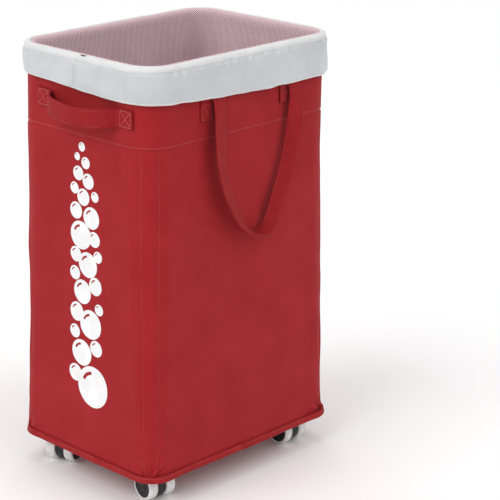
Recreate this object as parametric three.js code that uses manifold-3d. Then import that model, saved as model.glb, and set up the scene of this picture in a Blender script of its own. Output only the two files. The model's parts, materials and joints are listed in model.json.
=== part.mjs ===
// Rolling laundry hamper: a fabric box on a stiff base board with four twin-wheel casters, kept open by
// corner rods and a wire hoop, with a lift-out mesh liner whose cuff folds over the rim.
// Millimetres, +Z up. The origin is on the floor under the middle of the box. +X runs along the long side
// and the carry straps hang on the -Y and +Y faces, the side handles on the -X and +X faces.
import * as THREE from 'three';
import { mergeVertices } from 'three/addons/utils/BufferGeometryUtils.js';
import Module from 'manifold-3d';

const wasm = await Module();
wasm.setup();

// ---- driving dimensions -------------------------------------------------------------------------
const LENGTH = 391;              // body, along X
const DEPTH = 290;               // body, along Y
const HEIGHT = 678;              // floor to the top of the liner cuff
const FLOOR_GAP = 48;            // floor to the underside of the fabric bottom
const CORNER_R = 45;             // plan radius of the body's corners
const GAP = 0.3;                 // air between pieces that touch

const WALL = 3;                  // padded fabric wall
const HEM_DEPTH = 11;            // how far the top hem reaches inwards over the hoop
const HEM_DROP = 13;             // height of the hem's inner lip
const HEM_LAYER = 2;
const HOOP_R = 2.5;              // steel wire
const PLAY = 0.5;                // slack between the fabric and the hoop or a rod
const PIPING_R = 2.2;            // welt round the bottom edge
const PANEL_T = 2;               // fabric bottom
const BOARD_T = 4;               // base board

const ROD_R = 3.5;
const SLEEVE_T = 1.2;            // fabric channel that holds a rod in its corner
const SLEEVE_ARC = THREE.MathUtils.degToRad(240);
const SLEEVE_STEPS = 12;

const CUFF_DROP = 62;            // height of the cuff outside
const CUFF_INNER_DROP = 26;      // height of the cuff inside, down to the mesh
const CUFF_T = 2.7;
const CUFF_FOOT = 2;             // lower edge of the cuff, out from the wall
const CUFF_BULGE = 9;            // its fullest part, out from the wall
const CUFF_LAP = 10;             // the flat top, in from the outside of the body
const CUFF_INNER = 15;           // its inner leg, in from the outside of the body
const BAG_INSET = 13;            // mesh bag, in from the outside of the body
const BAG_T = 2;
const BAG_FLOOR = 68;            // underside of the mesh bag, above the caster nuts
const BAG_EDGE = 4;              // bevel round the bottom of the bag

const STRAP_W = 25;
const STRAP_T = 3;
const STRAP_SPREAD = 84;         // middle of each strap end, from the middle of the long face
const STRAP_STANDOFF = 18;       // hanging strap, out from the wall
const STRAP_AXIS_Z = 604;        // where the strap folds over and swings
const STRAP_DROP = 203;          // fold to the middle of the strap at the bottom of the loop
const TAB_BOTTOM = 586;
const TAB_T = 2.5;

const HANDLE_H = 28;             // side handle band
const HANDLE_T = 3;
const HANDLE_Z = 596;
const HANDLE_HALF = 66;          // half of the band that lifts
const HANDLE_ROOT = 15;          // its ends, out from the wall
const HANDLE_BOW = 27;           // its middle, out from the wall
const PATCH_IN = 77;             // sewn patch, along the wall
const PATCH_OUT = 108;
const PATCH_T = 2.5;

const CASTER_X = 148;            // swivel axes
const CASTER_Y = 95;
const TRAIL = 10;                // wheel axle, out from the swivel axis
const WHEEL_R = 22.5;
const WHEEL_W = 16;
const WHEEL_SPACING = 32;        // middle of one wheel to the middle of the other
const TREAD_BEVEL = 2;
const HUB_R = 17.9;
const HUB_BEVEL = 1.5;
const HUB_FACE = 1.4;            // closed outer face of a wheel centre
const AXLE_R = 2.5;
const STEM_R = 4;
const PIN_BOTTOM = 27;           // lower end of the swivel pin, in the hood
const FLANGE_R = 13;
const FLANGE_T = 2;
const STEM_PROUD = 2;            // thread that stands above the nut
const HOOD_W = 15;               // swivel body, between the wheels
const HOOD_GAP = 0.4;            // swivel body to the flange
const FENDER_R = 20.5;
const NUT_AF = 13;               // across flats
const NUT_H = 6.5;
// Each caster's name, its place, and the way its axle points: degrees from +X, trailing to the left of it.
const CASTERS = [
  { name: 'front_left', side: [-1, -1], heading: 172 },
  { name: 'front_right', side: [1, -1], heading: 180 },
  { name: 'rear_left', side: [-1, 1], heading: 107.6 },
  { name: 'rear_right', side: [1, 1], heading: 40 },
];

const CORNER_STEPS = 6;
const WHEEL_SEGMENTS = 24;
const SMALL_SEGMENTS = 16;

const HALF_X = LENGTH / 2;
const HALF_Y = DEPTH / 2;
const SHELL_TOP = HEIGHT - CUFF_T - GAP;
const BOARD_BOTTOM = FLOOR_GAP + PANEL_T + GAP;
const BOARD_TOP = BOARD_BOTTOM + BOARD_T;
const CUFF_BOTTOM = HEIGHT - CUFF_DROP;
const CUFF_INNER_BOTTOM = HEIGHT - CUFF_INNER_DROP;

// ---- materials ----------------------------------------------------------------------------------
function material(color, roughness, metalness = 0) {
  return new THREE.MeshStandardMaterial({ color, roughness, metalness });
}

const RED_FABRIC = [0x9c2c30, 0.8];
const WHITE_FABRIC = [0xdcdde2, 0.85];
const MESH_FABRIC = [0xb99a9d, 0.9];
const BOARD = [0x3a3a3c, 0.7];
const STEEL = [0xb4b6b8, 0.35, 0.9];
const ROD = [0xe4e2dc, 0.5];
const BLACK_PLASTIC = [0x141516, 0.45];
const WHITE_TYRE = [0xe8e8e6, 0.55];

// ---- geometry helpers ---------------------------------------------------------------------------
/** Points round the body's plan outline, moved out by `out`. */
function outlineLoop(out) {
  const radius = CORNER_R + out;
  const points = [];
  for (const [sx, sy, start] of [[1, -1, -90], [1, 1, 0], [-1, 1, 90], [-1, -1, 180]]) {
    for (let i = 0; i <= CORNER_STEPS; i += 1) {
      const angle = THREE.MathUtils.degToRad(start + (90 * i) / CORNER_STEPS);
      points.push([
        sx * (HALF_X - CORNER_R) + radius * Math.cos(angle),
        sy * (HALF_Y - CORNER_R) + radius * Math.sin(angle),
      ]);
    }
  }
  return points;
}

/** Skins a profile of [out, z] points carried round the body's outline. Its points run so that the solid is
 *  on their left. A closed profile makes a ring; an open one is capped where it starts and ends. */
function bodySweep(profile, { closed = true } = {}) {
  const positions = [];
  const index = [];
  const loops = profile.map(([out, z]) => outlineLoop(out).map(([x, y]) => [x, y, z]));
  const count = loops[0].length;
  loops.forEach((loop) => loop.forEach((point) => positions.push(...point)));
  const bands = closed ? profile.length : profile.length - 1;
  for (let band = 0; band < bands; band += 1) {
    const here = band * count;
    const next = ((band + 1) % profile.length) * count;
    for (let i = 0; i < count; i += 1) {
      const j = (i + 1) % count;
      index.push(here + i, here + j, next + j, here + i, next + j, next + i);
    }
  }
  if (!closed) {
    for (const [loopIndex, flip] of [[0, true], [profile.length - 1, false]]) {
      const centre = positions.length / 3;
      positions.push(0, 0, profile[loopIndex][1]);
      for (let i = 0; i < count; i += 1) {
        const a = loopIndex * count + i;
        const b = loopIndex * count + ((i + 1) % count);
        index.push(centre, ...(flip ? [b, a] : [a, b]));
      }
    }
  }
  const geometry = new THREE.BufferGeometry();
  geometry.setAttribute('position', new THREE.Float32BufferAttribute(positions, 3));
  geometry.setIndex(index);
  return geometry;
}

/** A round section of [out, z] points, for the hoop and the piping. */
function roundSection(out, z, radius, sides = 8) {
  return Array.from({ length: sides }, (_, i) => {
    const angle = (2 * Math.PI * (i + 0.5)) / sides;
    return [out + radius * Math.cos(angle), z + radius * Math.sin(angle)];
  });
}

/** The plan outline as a THREE.Shape, moved out by `out`. */
function outlineShape(out) {
  return new THREE.Shape(outlineLoop(out).map(([x, y]) => new THREE.Vector2(x, y)));
}

function polygon(points) {
  return new THREE.Shape(points.map(([x, y]) => new THREE.Vector2(x, y)));
}

function extrude(shape, depth) {
  return new THREE.ExtrudeGeometry(shape, { depth, bevelEnabled: false, curveSegments: 8 });
}

/** An upright round solid from a closed profile of [radius, z] points. */
function turned(points, segments = SMALL_SEGMENTS, start = 0) {
  const profile = points.map(([r, z]) => new THREE.Vector2(r, z));
  return new THREE.LatheGeometry(profile, segments, start).rotateX(Math.PI / 2);
}

function rod(radius, from, to, segments = SMALL_SEGMENTS) {
  return turned([[0, from], [radius, from], [radius, to], [0, to]], segments);
}

function toSolid(geometry) {
  const plain = geometry.clone();
  plain.deleteAttribute('normal');
  plain.deleteAttribute('uv');
  const merged = mergeVertices(plain, 1e-4);
  const mesh = new wasm.Mesh({
    numProp: 3,
    vertProperties: Float32Array.from(merged.attributes.position.array),
    triVerts: Uint32Array.from(merged.index.array),
  });
  return new wasm.Manifold(mesh);
}

function fromSolid(solid) {
  const mesh = solid.getMesh();
  const geometry = new THREE.BufferGeometry();
  geometry.setAttribute('position', new THREE.BufferAttribute(mesh.vertProperties, 3));
  geometry.setIndex(new THREE.BufferAttribute(mesh.triVerts, 1));
  return geometry;
}

function cut(geometry, ...tools) {
  return fromSolid(tools.reduce((solid, tool) => solid.subtract(toSolid(tool)), toSolid(geometry)));
}

function add(parent, name, geometry, look) {
  const mesh = new THREE.Mesh(geometry, material(...look));
  mesh.name = name;
  mesh.geometry.computeVertexNormals();
  parent.add(mesh);
  return mesh;
}

/** A group that repeats a -Y face piece on the +Y face, or a -X face piece on the +X face. */
function turnedAbout(model, degrees) {
  const group = new THREE.Group();
  group.rotation.z = THREE.MathUtils.degToRad(degrees);
  model.add(group);
  return group;
}

// ---- body ---------------------------------------------------------------------------------------
function outerShell() {
  const lip = SHELL_TOP - HEM_DROP;
  const hemUnder = SHELL_TOP - HEM_LAYER;
  return bodySweep([
    [0, FLOOR_GAP],
    [0, SHELL_TOP],
    [-HEM_DEPTH, SHELL_TOP],
    [-HEM_DEPTH, lip],
    [-HEM_DEPTH + HEM_LAYER, lip],
    [-HEM_DEPTH + HEM_LAYER, hemUnder],
    [-WALL, hemUnder],
    [-WALL, FLOOR_GAP],
  ]);
}

function rimHoop() {
  const out = -(WALL + PLAY + HOOP_R);
  return bodySweep(roundSection(out, SHELL_TOP - HEM_LAYER - PLAY - HOOP_R, HOOP_R));
}

function bottomPiping() {
  return bodySweep(roundSection(PIPING_R + GAP, FLOOR_GAP + PIPING_R + GAP, PIPING_R));
}

function stemHoles(from, to) {
  return CASTERS.map(({ side: [sx, sy] }) => (
    rod(STEM_R + 0.4, from, to).translate(sx * CASTER_X, sy * CASTER_Y, 0)
  ));
}

function plate(inset, bottom, thickness) {
  const slab = extrude(outlineShape(-inset), thickness).translate(0, 0, bottom);
  return cut(slab, ...stemHoles(bottom - 1, bottom + thickness + 1));
}

/** Where a corner rod stands: against the inside of the wall, on the corner's diagonal. */
function rodPlace([sx, sy]) {
  const reach = (CORNER_R - WALL - PLAY - ROD_R) / Math.SQRT2;
  return [sx * (HALF_X - CORNER_R + reach), sy * (HALF_Y - CORNER_R + reach)];
}

function cornerRod(side) {
  const top = SHELL_TOP - HEM_DROP - 2;
  return rod(ROD_R, BOARD_TOP + GAP, top, 12).translate(...rodPlace(side), 0);
}

/** A fabric channel, open towards the corner, whose edges are sewn to the wall either side of the rod. */
function rodSleeve([sx, sy]) {
  const inwards = Math.atan2(-sy, -sx);
  const inner = ROD_R + PLAY;
  const arc = (radius) => Array.from({ length: SLEEVE_STEPS + 1 }, (_, i) => {
    const angle = inwards + SLEEVE_ARC * (i / SLEEVE_STEPS - 0.5);
    return [radius * Math.cos(angle), radius * Math.sin(angle)];
  });
  const section = polygon([...arc(inner + SLEEVE_T), ...arc(inner).reverse()]);
  const bottom = BOARD_TOP + 2;
  const height = CUFF_INNER_BOTTOM - 4 - bottom;
  return extrude(section, height).translate(...rodPlace([sx, sy]), bottom);
}

// ---- liner --------------------------------------------------------------------------------------
function linerBag() {
  const top = CUFF_INNER_BOTTOM - GAP;
  const inside = -BAG_INSET - BAG_T;
  return bodySweep([
    [-BAG_INSET - BAG_EDGE, BAG_FLOOR],
    [-BAG_INSET, BAG_FLOOR + BAG_EDGE],
    [-BAG_INSET, top],
    [inside, top],
    [inside, BAG_FLOOR + BAG_EDGE + 1],
    [inside - BAG_EDGE + 1, BAG_FLOOR + BAG_T],
  ], { closed: false });
}

/** The cuff lies flat on the rim, hangs down inside to the mesh and bulges out over the wall. */
function linerCuff() {
  const under = HEIGHT - CUFF_T;
  const inside = CUFF_T - CUFF_INNER;
  const bulgeInside = CUFF_BULGE - 2.4;
  const fullFrom = CUFF_BOTTOM + 24;
  const fullTo = HEIGHT - 23;
  return bodySweep([
    [CUFF_FOOT, CUFF_BOTTOM],
    [CUFF_FOOT + 3, CUFF_BOTTOM + 1],
    [CUFF_BULGE - 0.8, CUFF_BOTTOM + 8],
    [CUFF_BULGE, fullFrom],
    [CUFF_BULGE, fullTo],
    [CUFF_BULGE - 1.5, HEIGHT - 10],
    [CUFF_BULGE - 5, HEIGHT - 2.5],
    [0, HEIGHT],
    [-CUFF_LAP, HEIGHT],
    [1.5 - CUFF_INNER, HEIGHT - 2.5],
    [-CUFF_INNER, HEIGHT - 10],
    [-CUFF_INNER, CUFF_INNER_BOTTOM],
    [inside, CUFF_INNER_BOTTOM],
    [inside, HEIGHT - 7],
    [inside + 1, under],
    [0.4, under],
    [CUFF_FOOT, HEIGHT - 4],
    [bulgeInside - 1.4, HEIGHT - 12],
    [bulgeInside, fullTo],
    [bulgeInside, fullFrom],
    [bulgeInside - 0.7, CUFF_BOTTOM + 10],
    [CUFF_FOOT + 1.6, CUFF_BOTTOM + 3.5],
  ]);
}

// ---- carry straps -------------------------------------------------------------------------------
/** The sewn end of a strap: flat on the wall, then folded out to where the loop swings. Long side face -Y. */
function strapTab(x) {
  const back = GAP;
  const front = GAP + TAB_T;
  const end = STRAP_STANDOFF - STRAP_T / 2 - 1.1;
  const under = STRAP_AXIS_Z;
  const over = STRAP_AXIS_Z + TAB_T;
  const profile = new THREE.Shape();
  profile.moveTo(back, TAB_BOTTOM);
  profile.lineTo(front, TAB_BOTTOM);
  profile.lineTo(front, under - 5);
  profile.quadraticCurveTo(front, under, front + 5, under);
  profile.lineTo(end, under);
  profile.lineTo(end, over);
  profile.lineTo(back + 6, over);
  profile.quadraticCurveTo(back, over, back, under - 4);
  const strip = extrude(profile, STRAP_W);
  // The profile's x is the way out of the wall and its y is up, so it turns to stand on the -Y face.
  const basis = new THREE.Matrix4().makeBasis(
    new THREE.Vector3(0, -1, 0),
    new THREE.Vector3(0, 0, 1),
    new THREE.Vector3(-1, 0, 0),
  );
  return strip.applyMatrix4(basis).translate(x + STRAP_W / 2, -HALF_Y, 0);
}

/** The hanging loop, a flat band in a plane parallel to the wall. */
function carryStrap() {
  const run = new THREE.CatmullRomCurve3([
    [-STRAP_SPREAD, 0],
    [-STRAP_SPREAD, -45],
    [-78, -88],
    [-63, -132],
    [-40, -172],
    [0, -STRAP_DROP],
    [40, -172],
    [63, -132],
    [78, -88],
    [STRAP_SPREAD, -45],
    [STRAP_SPREAD, 0],
  ].map(([x, z]) => new THREE.Vector3(x, z, 0)));
  const steps = 40;
  const edge = (offset) => Array.from({ length: steps + 1 }, (_, i) => {
    const point = run.getPointAt(i / steps);
    const along = run.getTangentAt(i / steps);
    return [point.x - along.y * offset, point.y + along.x * offset];
  });
  const band = polygon([...edge(-STRAP_W / 2), ...edge(STRAP_W / 2).reverse()]);
  return extrude(band, STRAP_T)
    .rotateX(Math.PI / 2)
    .translate(0, -HALF_Y - STRAP_STANDOFF + STRAP_T / 2, STRAP_AXIS_Z);
}

// ---- side handles -------------------------------------------------------------------------------
/** A plan outline on the -X face: `out` from the wall, `along` it. */
function onSideFace(points) {
  return polygon(points.map(([out, along]) => [-HALF_X - out, along]));
}

function sideBand() {
  const steps = 16;
  const edge = (offset) => Array.from({ length: steps + 1 }, (_, i) => {
    const t = (2 * i) / steps - 1;
    return [HANDLE_ROOT + (HANDLE_BOW - HANDLE_ROOT) * (1 - t * t) + offset, HANDLE_HALF * t];
  });
  const band = onSideFace([...edge(HANDLE_T / 2), ...edge(-HANDLE_T / 2).reverse()]);
  return extrude(band, HANDLE_H).translate(0, 0, HANDLE_Z - HANDLE_H / 2);
}

/** The sewn patch at one end of a side handle, with the short stub that leads out to the band. */
function sidePatch(sign) {
  const end = HANDLE_HALF + GAP + 0.1;
  const half = HANDLE_T / 2;
  const points = [
    [GAP, sign * PATCH_OUT],
    [GAP, sign * (PATCH_IN + 1)],
    [HANDLE_ROOT - half - 1, sign * end],
    [HANDLE_ROOT + half, sign * end],
    [GAP + PATCH_T, sign * (PATCH_IN + 4)],
    [GAP + PATCH_T, sign * PATCH_OUT],
  ];
  const outline = onSideFace(sign > 0 ? points : points.reverse());
  return extrude(outline, HANDLE_H + 2).translate(0, 0, HANDLE_Z - HANDLE_H / 2 - 1);
}

// ---- casters ------------------------------------------------------------------------------------
/** Fixed threaded stem: swivel pin below, flange under the fabric, thread up through the board. */
function casterStem() {
  const flangeTop = FLOOR_GAP - GAP;
  return turned([
    [0, PIN_BOTTOM],
    [STEM_R, PIN_BOTTOM],
    [STEM_R, flangeTop - FLANGE_T],
    [FLANGE_R, flangeTop - FLANGE_T],
    [FLANGE_R, flangeTop],
    [STEM_R, flangeTop],
    [STEM_R, BOARD_TOP + NUT_H + STEM_PROUD],
    [0, BOARD_TOP + NUT_H + STEM_PROUD],
  ]);
}

function casterNut() {
  const corner = NUT_AF / Math.sqrt(3);
  const hexagon = Array.from({ length: 6 }, (_, i) => [
    corner * Math.cos((Math.PI * i) / 3),
    corner * Math.sin((Math.PI * i) / 3),
  ]);
  const body = extrude(polygon(hexagon), NUT_H).translate(0, 0, BOARD_TOP + GAP);
  return cut(body, rod(STEM_R + GAP, BOARD_TOP - 1, BOARD_TOP + NUT_H + 2));
}

/** Swivel body between the wheels: a round fender about the axle with a boss round the swivel pin.
 *  It is drawn along the axle (local X), with the axle trailing behind the pin in local Y. */
function casterHood() {
  const top = FLOOR_GAP - GAP - FLANGE_T - HOOD_GAP;
  const bossR = HOOD_W / 2;
  const [low, high] = [-60, 110].map(THREE.MathUtils.degToRad);
  const fender = new THREE.Shape();
  // The fender covers the wheels' upper half and its back, and is open in front near the floor.
  fender.absarc(TRAIL, WHEEL_R, FENDER_R, low, high, false);
  fender.lineTo(-bossR, top - 3);
  fender.lineTo(-bossR, WHEEL_R - 2);
  fender.lineTo(TRAIL - 4, WHEEL_R - 12);
  const side = extrude(fender, HOOD_W).translate(0, 0, -HOOD_W / 2);
  // Shape x is local Y, shape y is Z and the depth is local X.
  const basis = new THREE.Matrix4().makeBasis(
    new THREE.Vector3(0, 1, 0),
    new THREE.Vector3(0, 0, 1),
    new THREE.Vector3(1, 0, 0),
  );
  const boss = rod(bossR, WHEEL_R, top);
  const solid = toSolid(side.applyMatrix4(basis)).add(toSolid(boss));
  const pinHole = toSolid(rod(STEM_R + GAP, PIN_BOTTOM - 1, top + 5));
  const axleHole = toSolid(alongAxle(rod(AXLE_R + GAP, -HOOD_W, HOOD_W)));
  return fromSolid(solid.subtract(pinHole).subtract(axleHole));
}

/** Lays an upright solid along the wheel axle. */
function alongAxle(geometry) {
  return geometry.rotateY(Math.PI / 2).translate(0, TRAIL, WHEEL_R);
}

function casterAxle() {
  const half = WHEEL_SPACING / 2 + WHEEL_W / 2 - 2;
  return alongAxle(rod(AXLE_R, -half, half, 12));
}

/** Black wheel centre, closed outside and bored from the inside, at `sign` along the axle. */
function wheelHub(sign) {
  const half = WHEEL_W / 2;
  const bore = AXLE_R + GAP;
  const centre = turned([
    [0, half - HUB_FACE],
    [bore, half - HUB_FACE],
    [bore, -half],
    [HUB_R, -half],
    [HUB_R, half - HUB_BEVEL],
    [HUB_R - HUB_BEVEL, half],
    [0, half],
  ], WHEEL_SEGMENTS, Math.PI / WHEEL_SEGMENTS);
  return placeWheel(centre, sign);
}

/** White tread round the wheel centre. The flat between two of its corners stands on the floor. */
function wheelTyre(sign) {
  const half = WHEEL_W / 2;
  const outer = WHEEL_R / Math.cos(Math.PI / WHEEL_SEGMENTS);
  const inner = HUB_R + GAP;
  const ring = turned([
    [inner, -half],
    [outer - TREAD_BEVEL, -half],
    [outer, -half + TREAD_BEVEL],
    [outer, half - TREAD_BEVEL],
    [outer - TREAD_BEVEL, half],
    [inner, half],
    [inner, -half],
  ], WHEEL_SEGMENTS, Math.PI / WHEEL_SEGMENTS);
  return placeWheel(ring, sign);
}

function placeWheel(geometry, sign) {
  const faced = sign > 0 ? geometry : geometry.rotateX(Math.PI);
  return alongAxle(faced.translate(0, 0, (sign * WHEEL_SPACING) / 2));
}

function addCaster(model, { name, side: [sx, sy], heading }) {
  const fixed = new THREE.Group();
  fixed.position.set(sx * CASTER_X, sy * CASTER_Y, 0);
  add(fixed, `caster_${name}_stem`, casterStem(), STEEL);
  add(fixed, `caster_${name}_nut`, casterNut(), STEEL);
  const swivel = new THREE.Group();
  swivel.rotation.z = THREE.MathUtils.degToRad(heading);
  add(swivel, `caster_${name}_hood`, casterHood(), BLACK_PLASTIC);
  add(swivel, `caster_${name}_axle`, casterAxle(), STEEL);
  for (const [hand, sign] of [['a', -1], ['b', 1]]) {
    add(swivel, `caster_${name}_hub_${hand}`, wheelHub(sign), BLACK_PLASTIC);
    add(swivel, `caster_${name}_tyre_${hand}`, wheelTyre(sign), WHITE_TYRE);
  }
  fixed.add(swivel);
  model.add(fixed);
}

// ---- assembly -----------------------------------------------------------------------------------
const model = new THREE.Group();
model.name = 'laundry_hamper';

add(model, 'outer_shell', outerShell(), RED_FABRIC);
add(model, 'bottom_panel', plate(WALL + GAP, FLOOR_GAP, PANEL_T), RED_FABRIC);
add(model, 'bottom_piping', bottomPiping(), RED_FABRIC);
add(model, 'base_board', plate(WALL + 2, BOARD_BOTTOM, BOARD_T), BOARD);
add(model, 'rim_hoop', rimHoop(), STEEL);
for (const { name, side } of CASTERS) {
  add(model, `corner_rod_${name}`, cornerRod(side), ROD);
  add(model, `rod_sleeve_${name}`, rodSleeve(side), RED_FABRIC);
}

add(model, 'liner_bag', linerBag(), MESH_FABRIC);
add(model, 'liner_cuff', linerCuff(), WHITE_FABRIC);

for (const [face, degrees] of [['front', 0], ['rear', 180]]) {
  const group = turnedAbout(model, degrees);
  add(group, `strap_tab_${face}_a`, strapTab(-STRAP_SPREAD), RED_FABRIC);
  add(group, `strap_tab_${face}_b`, strapTab(STRAP_SPREAD), RED_FABRIC);
  add(group, `carry_strap_${face}`, carryStrap(), RED_FABRIC);
}

for (const [face, degrees] of [['left', 0], ['right', 180]]) {
  const group = turnedAbout(model, degrees);
  add(group, `handle_patch_${face}_a`, sidePatch(-1), RED_FABRIC);
  add(group, `handle_patch_${face}_b`, sidePatch(1), RED_FABRIC);
  add(group, `side_handle_${face}`, sideBand(), RED_FABRIC);
}

CASTERS.forEach((caster) => addCaster(model, caster));

export default model;
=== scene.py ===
"""Looks of the rolling laundry hamper, built over the plain solids of its frame.

Lengths inside this script are millimetres in the part's frame; `make` turns them into metres.
A wall, cuff or liner point is given by its place round the body's outline, its height and how far
it stands out from the straight wall (`out`, negative inwards).
"""

import json
import math

import bmesh
import bpy
import numpy as np
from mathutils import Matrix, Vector
from mathutils.geometry import delaunay_2d_cdt


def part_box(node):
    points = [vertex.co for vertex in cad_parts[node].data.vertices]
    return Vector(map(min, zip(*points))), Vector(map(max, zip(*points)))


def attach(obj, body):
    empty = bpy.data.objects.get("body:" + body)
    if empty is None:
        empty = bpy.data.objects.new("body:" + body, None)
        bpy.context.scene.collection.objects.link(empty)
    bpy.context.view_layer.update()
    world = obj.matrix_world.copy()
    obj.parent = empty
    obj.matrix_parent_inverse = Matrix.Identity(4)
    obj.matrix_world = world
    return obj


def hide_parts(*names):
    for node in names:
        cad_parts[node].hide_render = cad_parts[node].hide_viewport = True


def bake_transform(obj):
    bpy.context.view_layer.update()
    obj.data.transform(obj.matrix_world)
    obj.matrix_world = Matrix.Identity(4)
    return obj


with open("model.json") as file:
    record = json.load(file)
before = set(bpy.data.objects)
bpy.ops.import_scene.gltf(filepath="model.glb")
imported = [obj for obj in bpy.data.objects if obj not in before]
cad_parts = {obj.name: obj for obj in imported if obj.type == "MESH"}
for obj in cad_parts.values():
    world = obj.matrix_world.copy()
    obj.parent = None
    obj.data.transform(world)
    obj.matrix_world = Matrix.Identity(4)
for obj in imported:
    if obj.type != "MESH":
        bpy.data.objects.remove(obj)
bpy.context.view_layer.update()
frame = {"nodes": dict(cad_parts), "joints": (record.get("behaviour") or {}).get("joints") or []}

MM = 0.001
UV = "cloth"
TURN = 2 * math.pi
UP = (0, 0, 1)
CASTERS = ("front_left", "front_right", "rear_left", "rear_right")


# ---- camera, floor and light --------------------------------------------------------------------
CAMERA_PLACE = (-1.885, -1.928, 1.233)      # metres
CAMERA_TURN, CAMERA_DIP = 44.3, 18.4        # degrees from the +Y axis towards +X, and down
CAMERA_LENS, CAMERA_SHIFT = 130.8, 0.15
SUN_WIDTH = 42                              # degrees of sky that each sun fills
LAMP_AIM, LAMP_SIZE = (0.0, 0.0, 0.4), 1.6  # metres
SKY_STRENGTH = 0.66


def set_camera():
    data = bpy.data.cameras.new("camera")
    data.lens = CAMERA_LENS
    data.sensor_width = 36.0
    data.shift_x = CAMERA_SHIFT
    data.clip_start, data.clip_end = 0.05, 60.0
    camera = bpy.data.objects.new("camera", data)
    camera.location = CAMERA_PLACE
    camera.rotation_euler = (math.radians(90 - CAMERA_DIP), 0.0, math.radians(-CAMERA_TURN))
    bpy.context.scene.collection.objects.link(camera)
    bpy.context.scene.camera = camera


def lamp(kind, name, heading, power):
    """A light that shines along a heading."""
    data = bpy.data.lights.new(name, kind)
    data.energy = power
    made = bpy.data.objects.new(name, data)
    made.rotation_euler = Vector(heading).to_track_quat("-Z", "Y").to_euler()
    bpy.context.scene.collection.objects.link(made)
    return made


def sun_light(name, heading, power):
    made = lamp("SUN", name, heading, power)
    made.data.angle = math.radians(SUN_WIDTH)


def area_light(name, place, power):
    made = lamp("AREA", name, Vector(LAMP_AIM) - Vector(place), power)
    made.location = place
    made.data.shape = "DISK"
    made.data.size = LAMP_SIZE


def set_light():
    world = bpy.data.worlds.new("studio")
    world.use_nodes = True
    background = world.node_tree.nodes["Background"]
    background.inputs["Color"].default_value = (1.0, 1.0, 1.0, 1.0)
    background.inputs["Strength"].default_value = SKY_STRENGTH
    bpy.context.scene.world = world
    sun_light("left_sun", (0.62, -0.06, -0.62), 1.16)
    sun_light("right_sun", (-0.24, 0.62, -0.70), 0.72)
    area_light("side", (-2.6, -0.2, 1.5), 4)
    area_light("top", (0.5, 0.8, 2.6), 9)
    bpy.context.scene.view_settings.view_transform = "Standard"


# ---- materials ----------------------------------------------------------------------------------
class Shader:
    """A small builder of node materials."""

    def __init__(self, name):
        self.material = bpy.data.materials.new(name)
        self.material.use_nodes = True
        self.tree = self.material.node_tree
        self.bsdf = self.tree.nodes["Principled BSDF"]

    def node(self, kind, **values):
        made = self.tree.nodes.new(kind)
        for key, value in values.items():
            setattr(made, key, value)
        return made

    def put(self, socket, value):
        if isinstance(value, bpy.types.NodeSocket):
            self.tree.links.new(value, socket)
        else:
            socket.default_value = value

    def math(self, operation, *values):
        made = self.node("ShaderNodeMath", operation=operation)
        for socket, value in zip(made.inputs, values):
            self.put(socket, value)
        return made.outputs[0]

    def add(self, one, other):
        return self.math("ADD", one, other)

    def times(self, one, other):
        return self.math("MULTIPLY", one, other)

    def ramp(self, value, low, high, to_low=0.0, to_high=1.0):
        made = self.node("ShaderNodeMapRange", interpolation_type="SMOOTHSTEP")
        for socket, number in zip(made.inputs, (value, low, high, to_low, to_high)):
            self.put(socket, number)
        return made.outputs[0]

    def mix(self, share, one, other):
        """A colour between two: each is (red, green, blue), or a socket with a colour."""
        made = self.node("ShaderNodeMix", data_type="RGBA")
        self.put(made.inputs[0], share)
        for socket, colour in ((made.inputs[6], one), (made.inputs[7], other)):
            self.put(socket, (*colour, 1.0) if isinstance(colour, tuple) else colour)
        return made.outputs[2]

    def noise(self, size_mm, detail=2.0, stretch=(1, 1, 1), rough=0.5):
        """Noise fixed to the piece, whose blobs are about size_mm across."""
        place = self.node("ShaderNodeTexCoord").outputs["Object"]
        mapping = self.node("ShaderNodeMapping")
        self.put(mapping.inputs["Vector"], place)
        mapping.inputs["Scale"].default_value = stretch
        made = self.node("ShaderNodeTexNoise")
        self.put(made.inputs["Vector"], mapping.outputs[0])
        made.inputs["Scale"].default_value = 1000.0 / size_mm
        made.inputs["Detail"].default_value = detail
        made.inputs["Roughness"].default_value = rough
        return made.outputs["Fac"]

    def cloth_uv(self):
        """The cloth's own two directions, along and across, in millimetres."""
        place = self.node("ShaderNodeUVMap", uv_map=UV).outputs[0]
        split = self.node("ShaderNodeSeparateXYZ")
        self.put(split.inputs[0], place)
        return self.times(split.outputs[0], 1 / MM), self.times(split.outputs[1], 1 / MM)

    def wave(self, value, pitch):
        return self.math("COSINE", self.times(value, TURN / pitch))

    def bump(self, height, distance_mm):
        made = self.node("ShaderNodeBump")
        made.inputs["Strength"].default_value = 1.0
        made.inputs["Distance"].default_value = distance_mm * MM
        self.put(made.inputs["Height"], height)
        self.put(self.bsdf.inputs["Normal"], made.outputs[0])

    def finish(self, colour, rough, **plain):
        self.put(self.bsdf.inputs["Base Color"], colour)
        self.put(self.bsdf.inputs["Roughness"], rough)
        for name, value in plain.items():
            self.bsdf.inputs[name.replace("_", " ")].default_value = value
        return self.material


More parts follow.
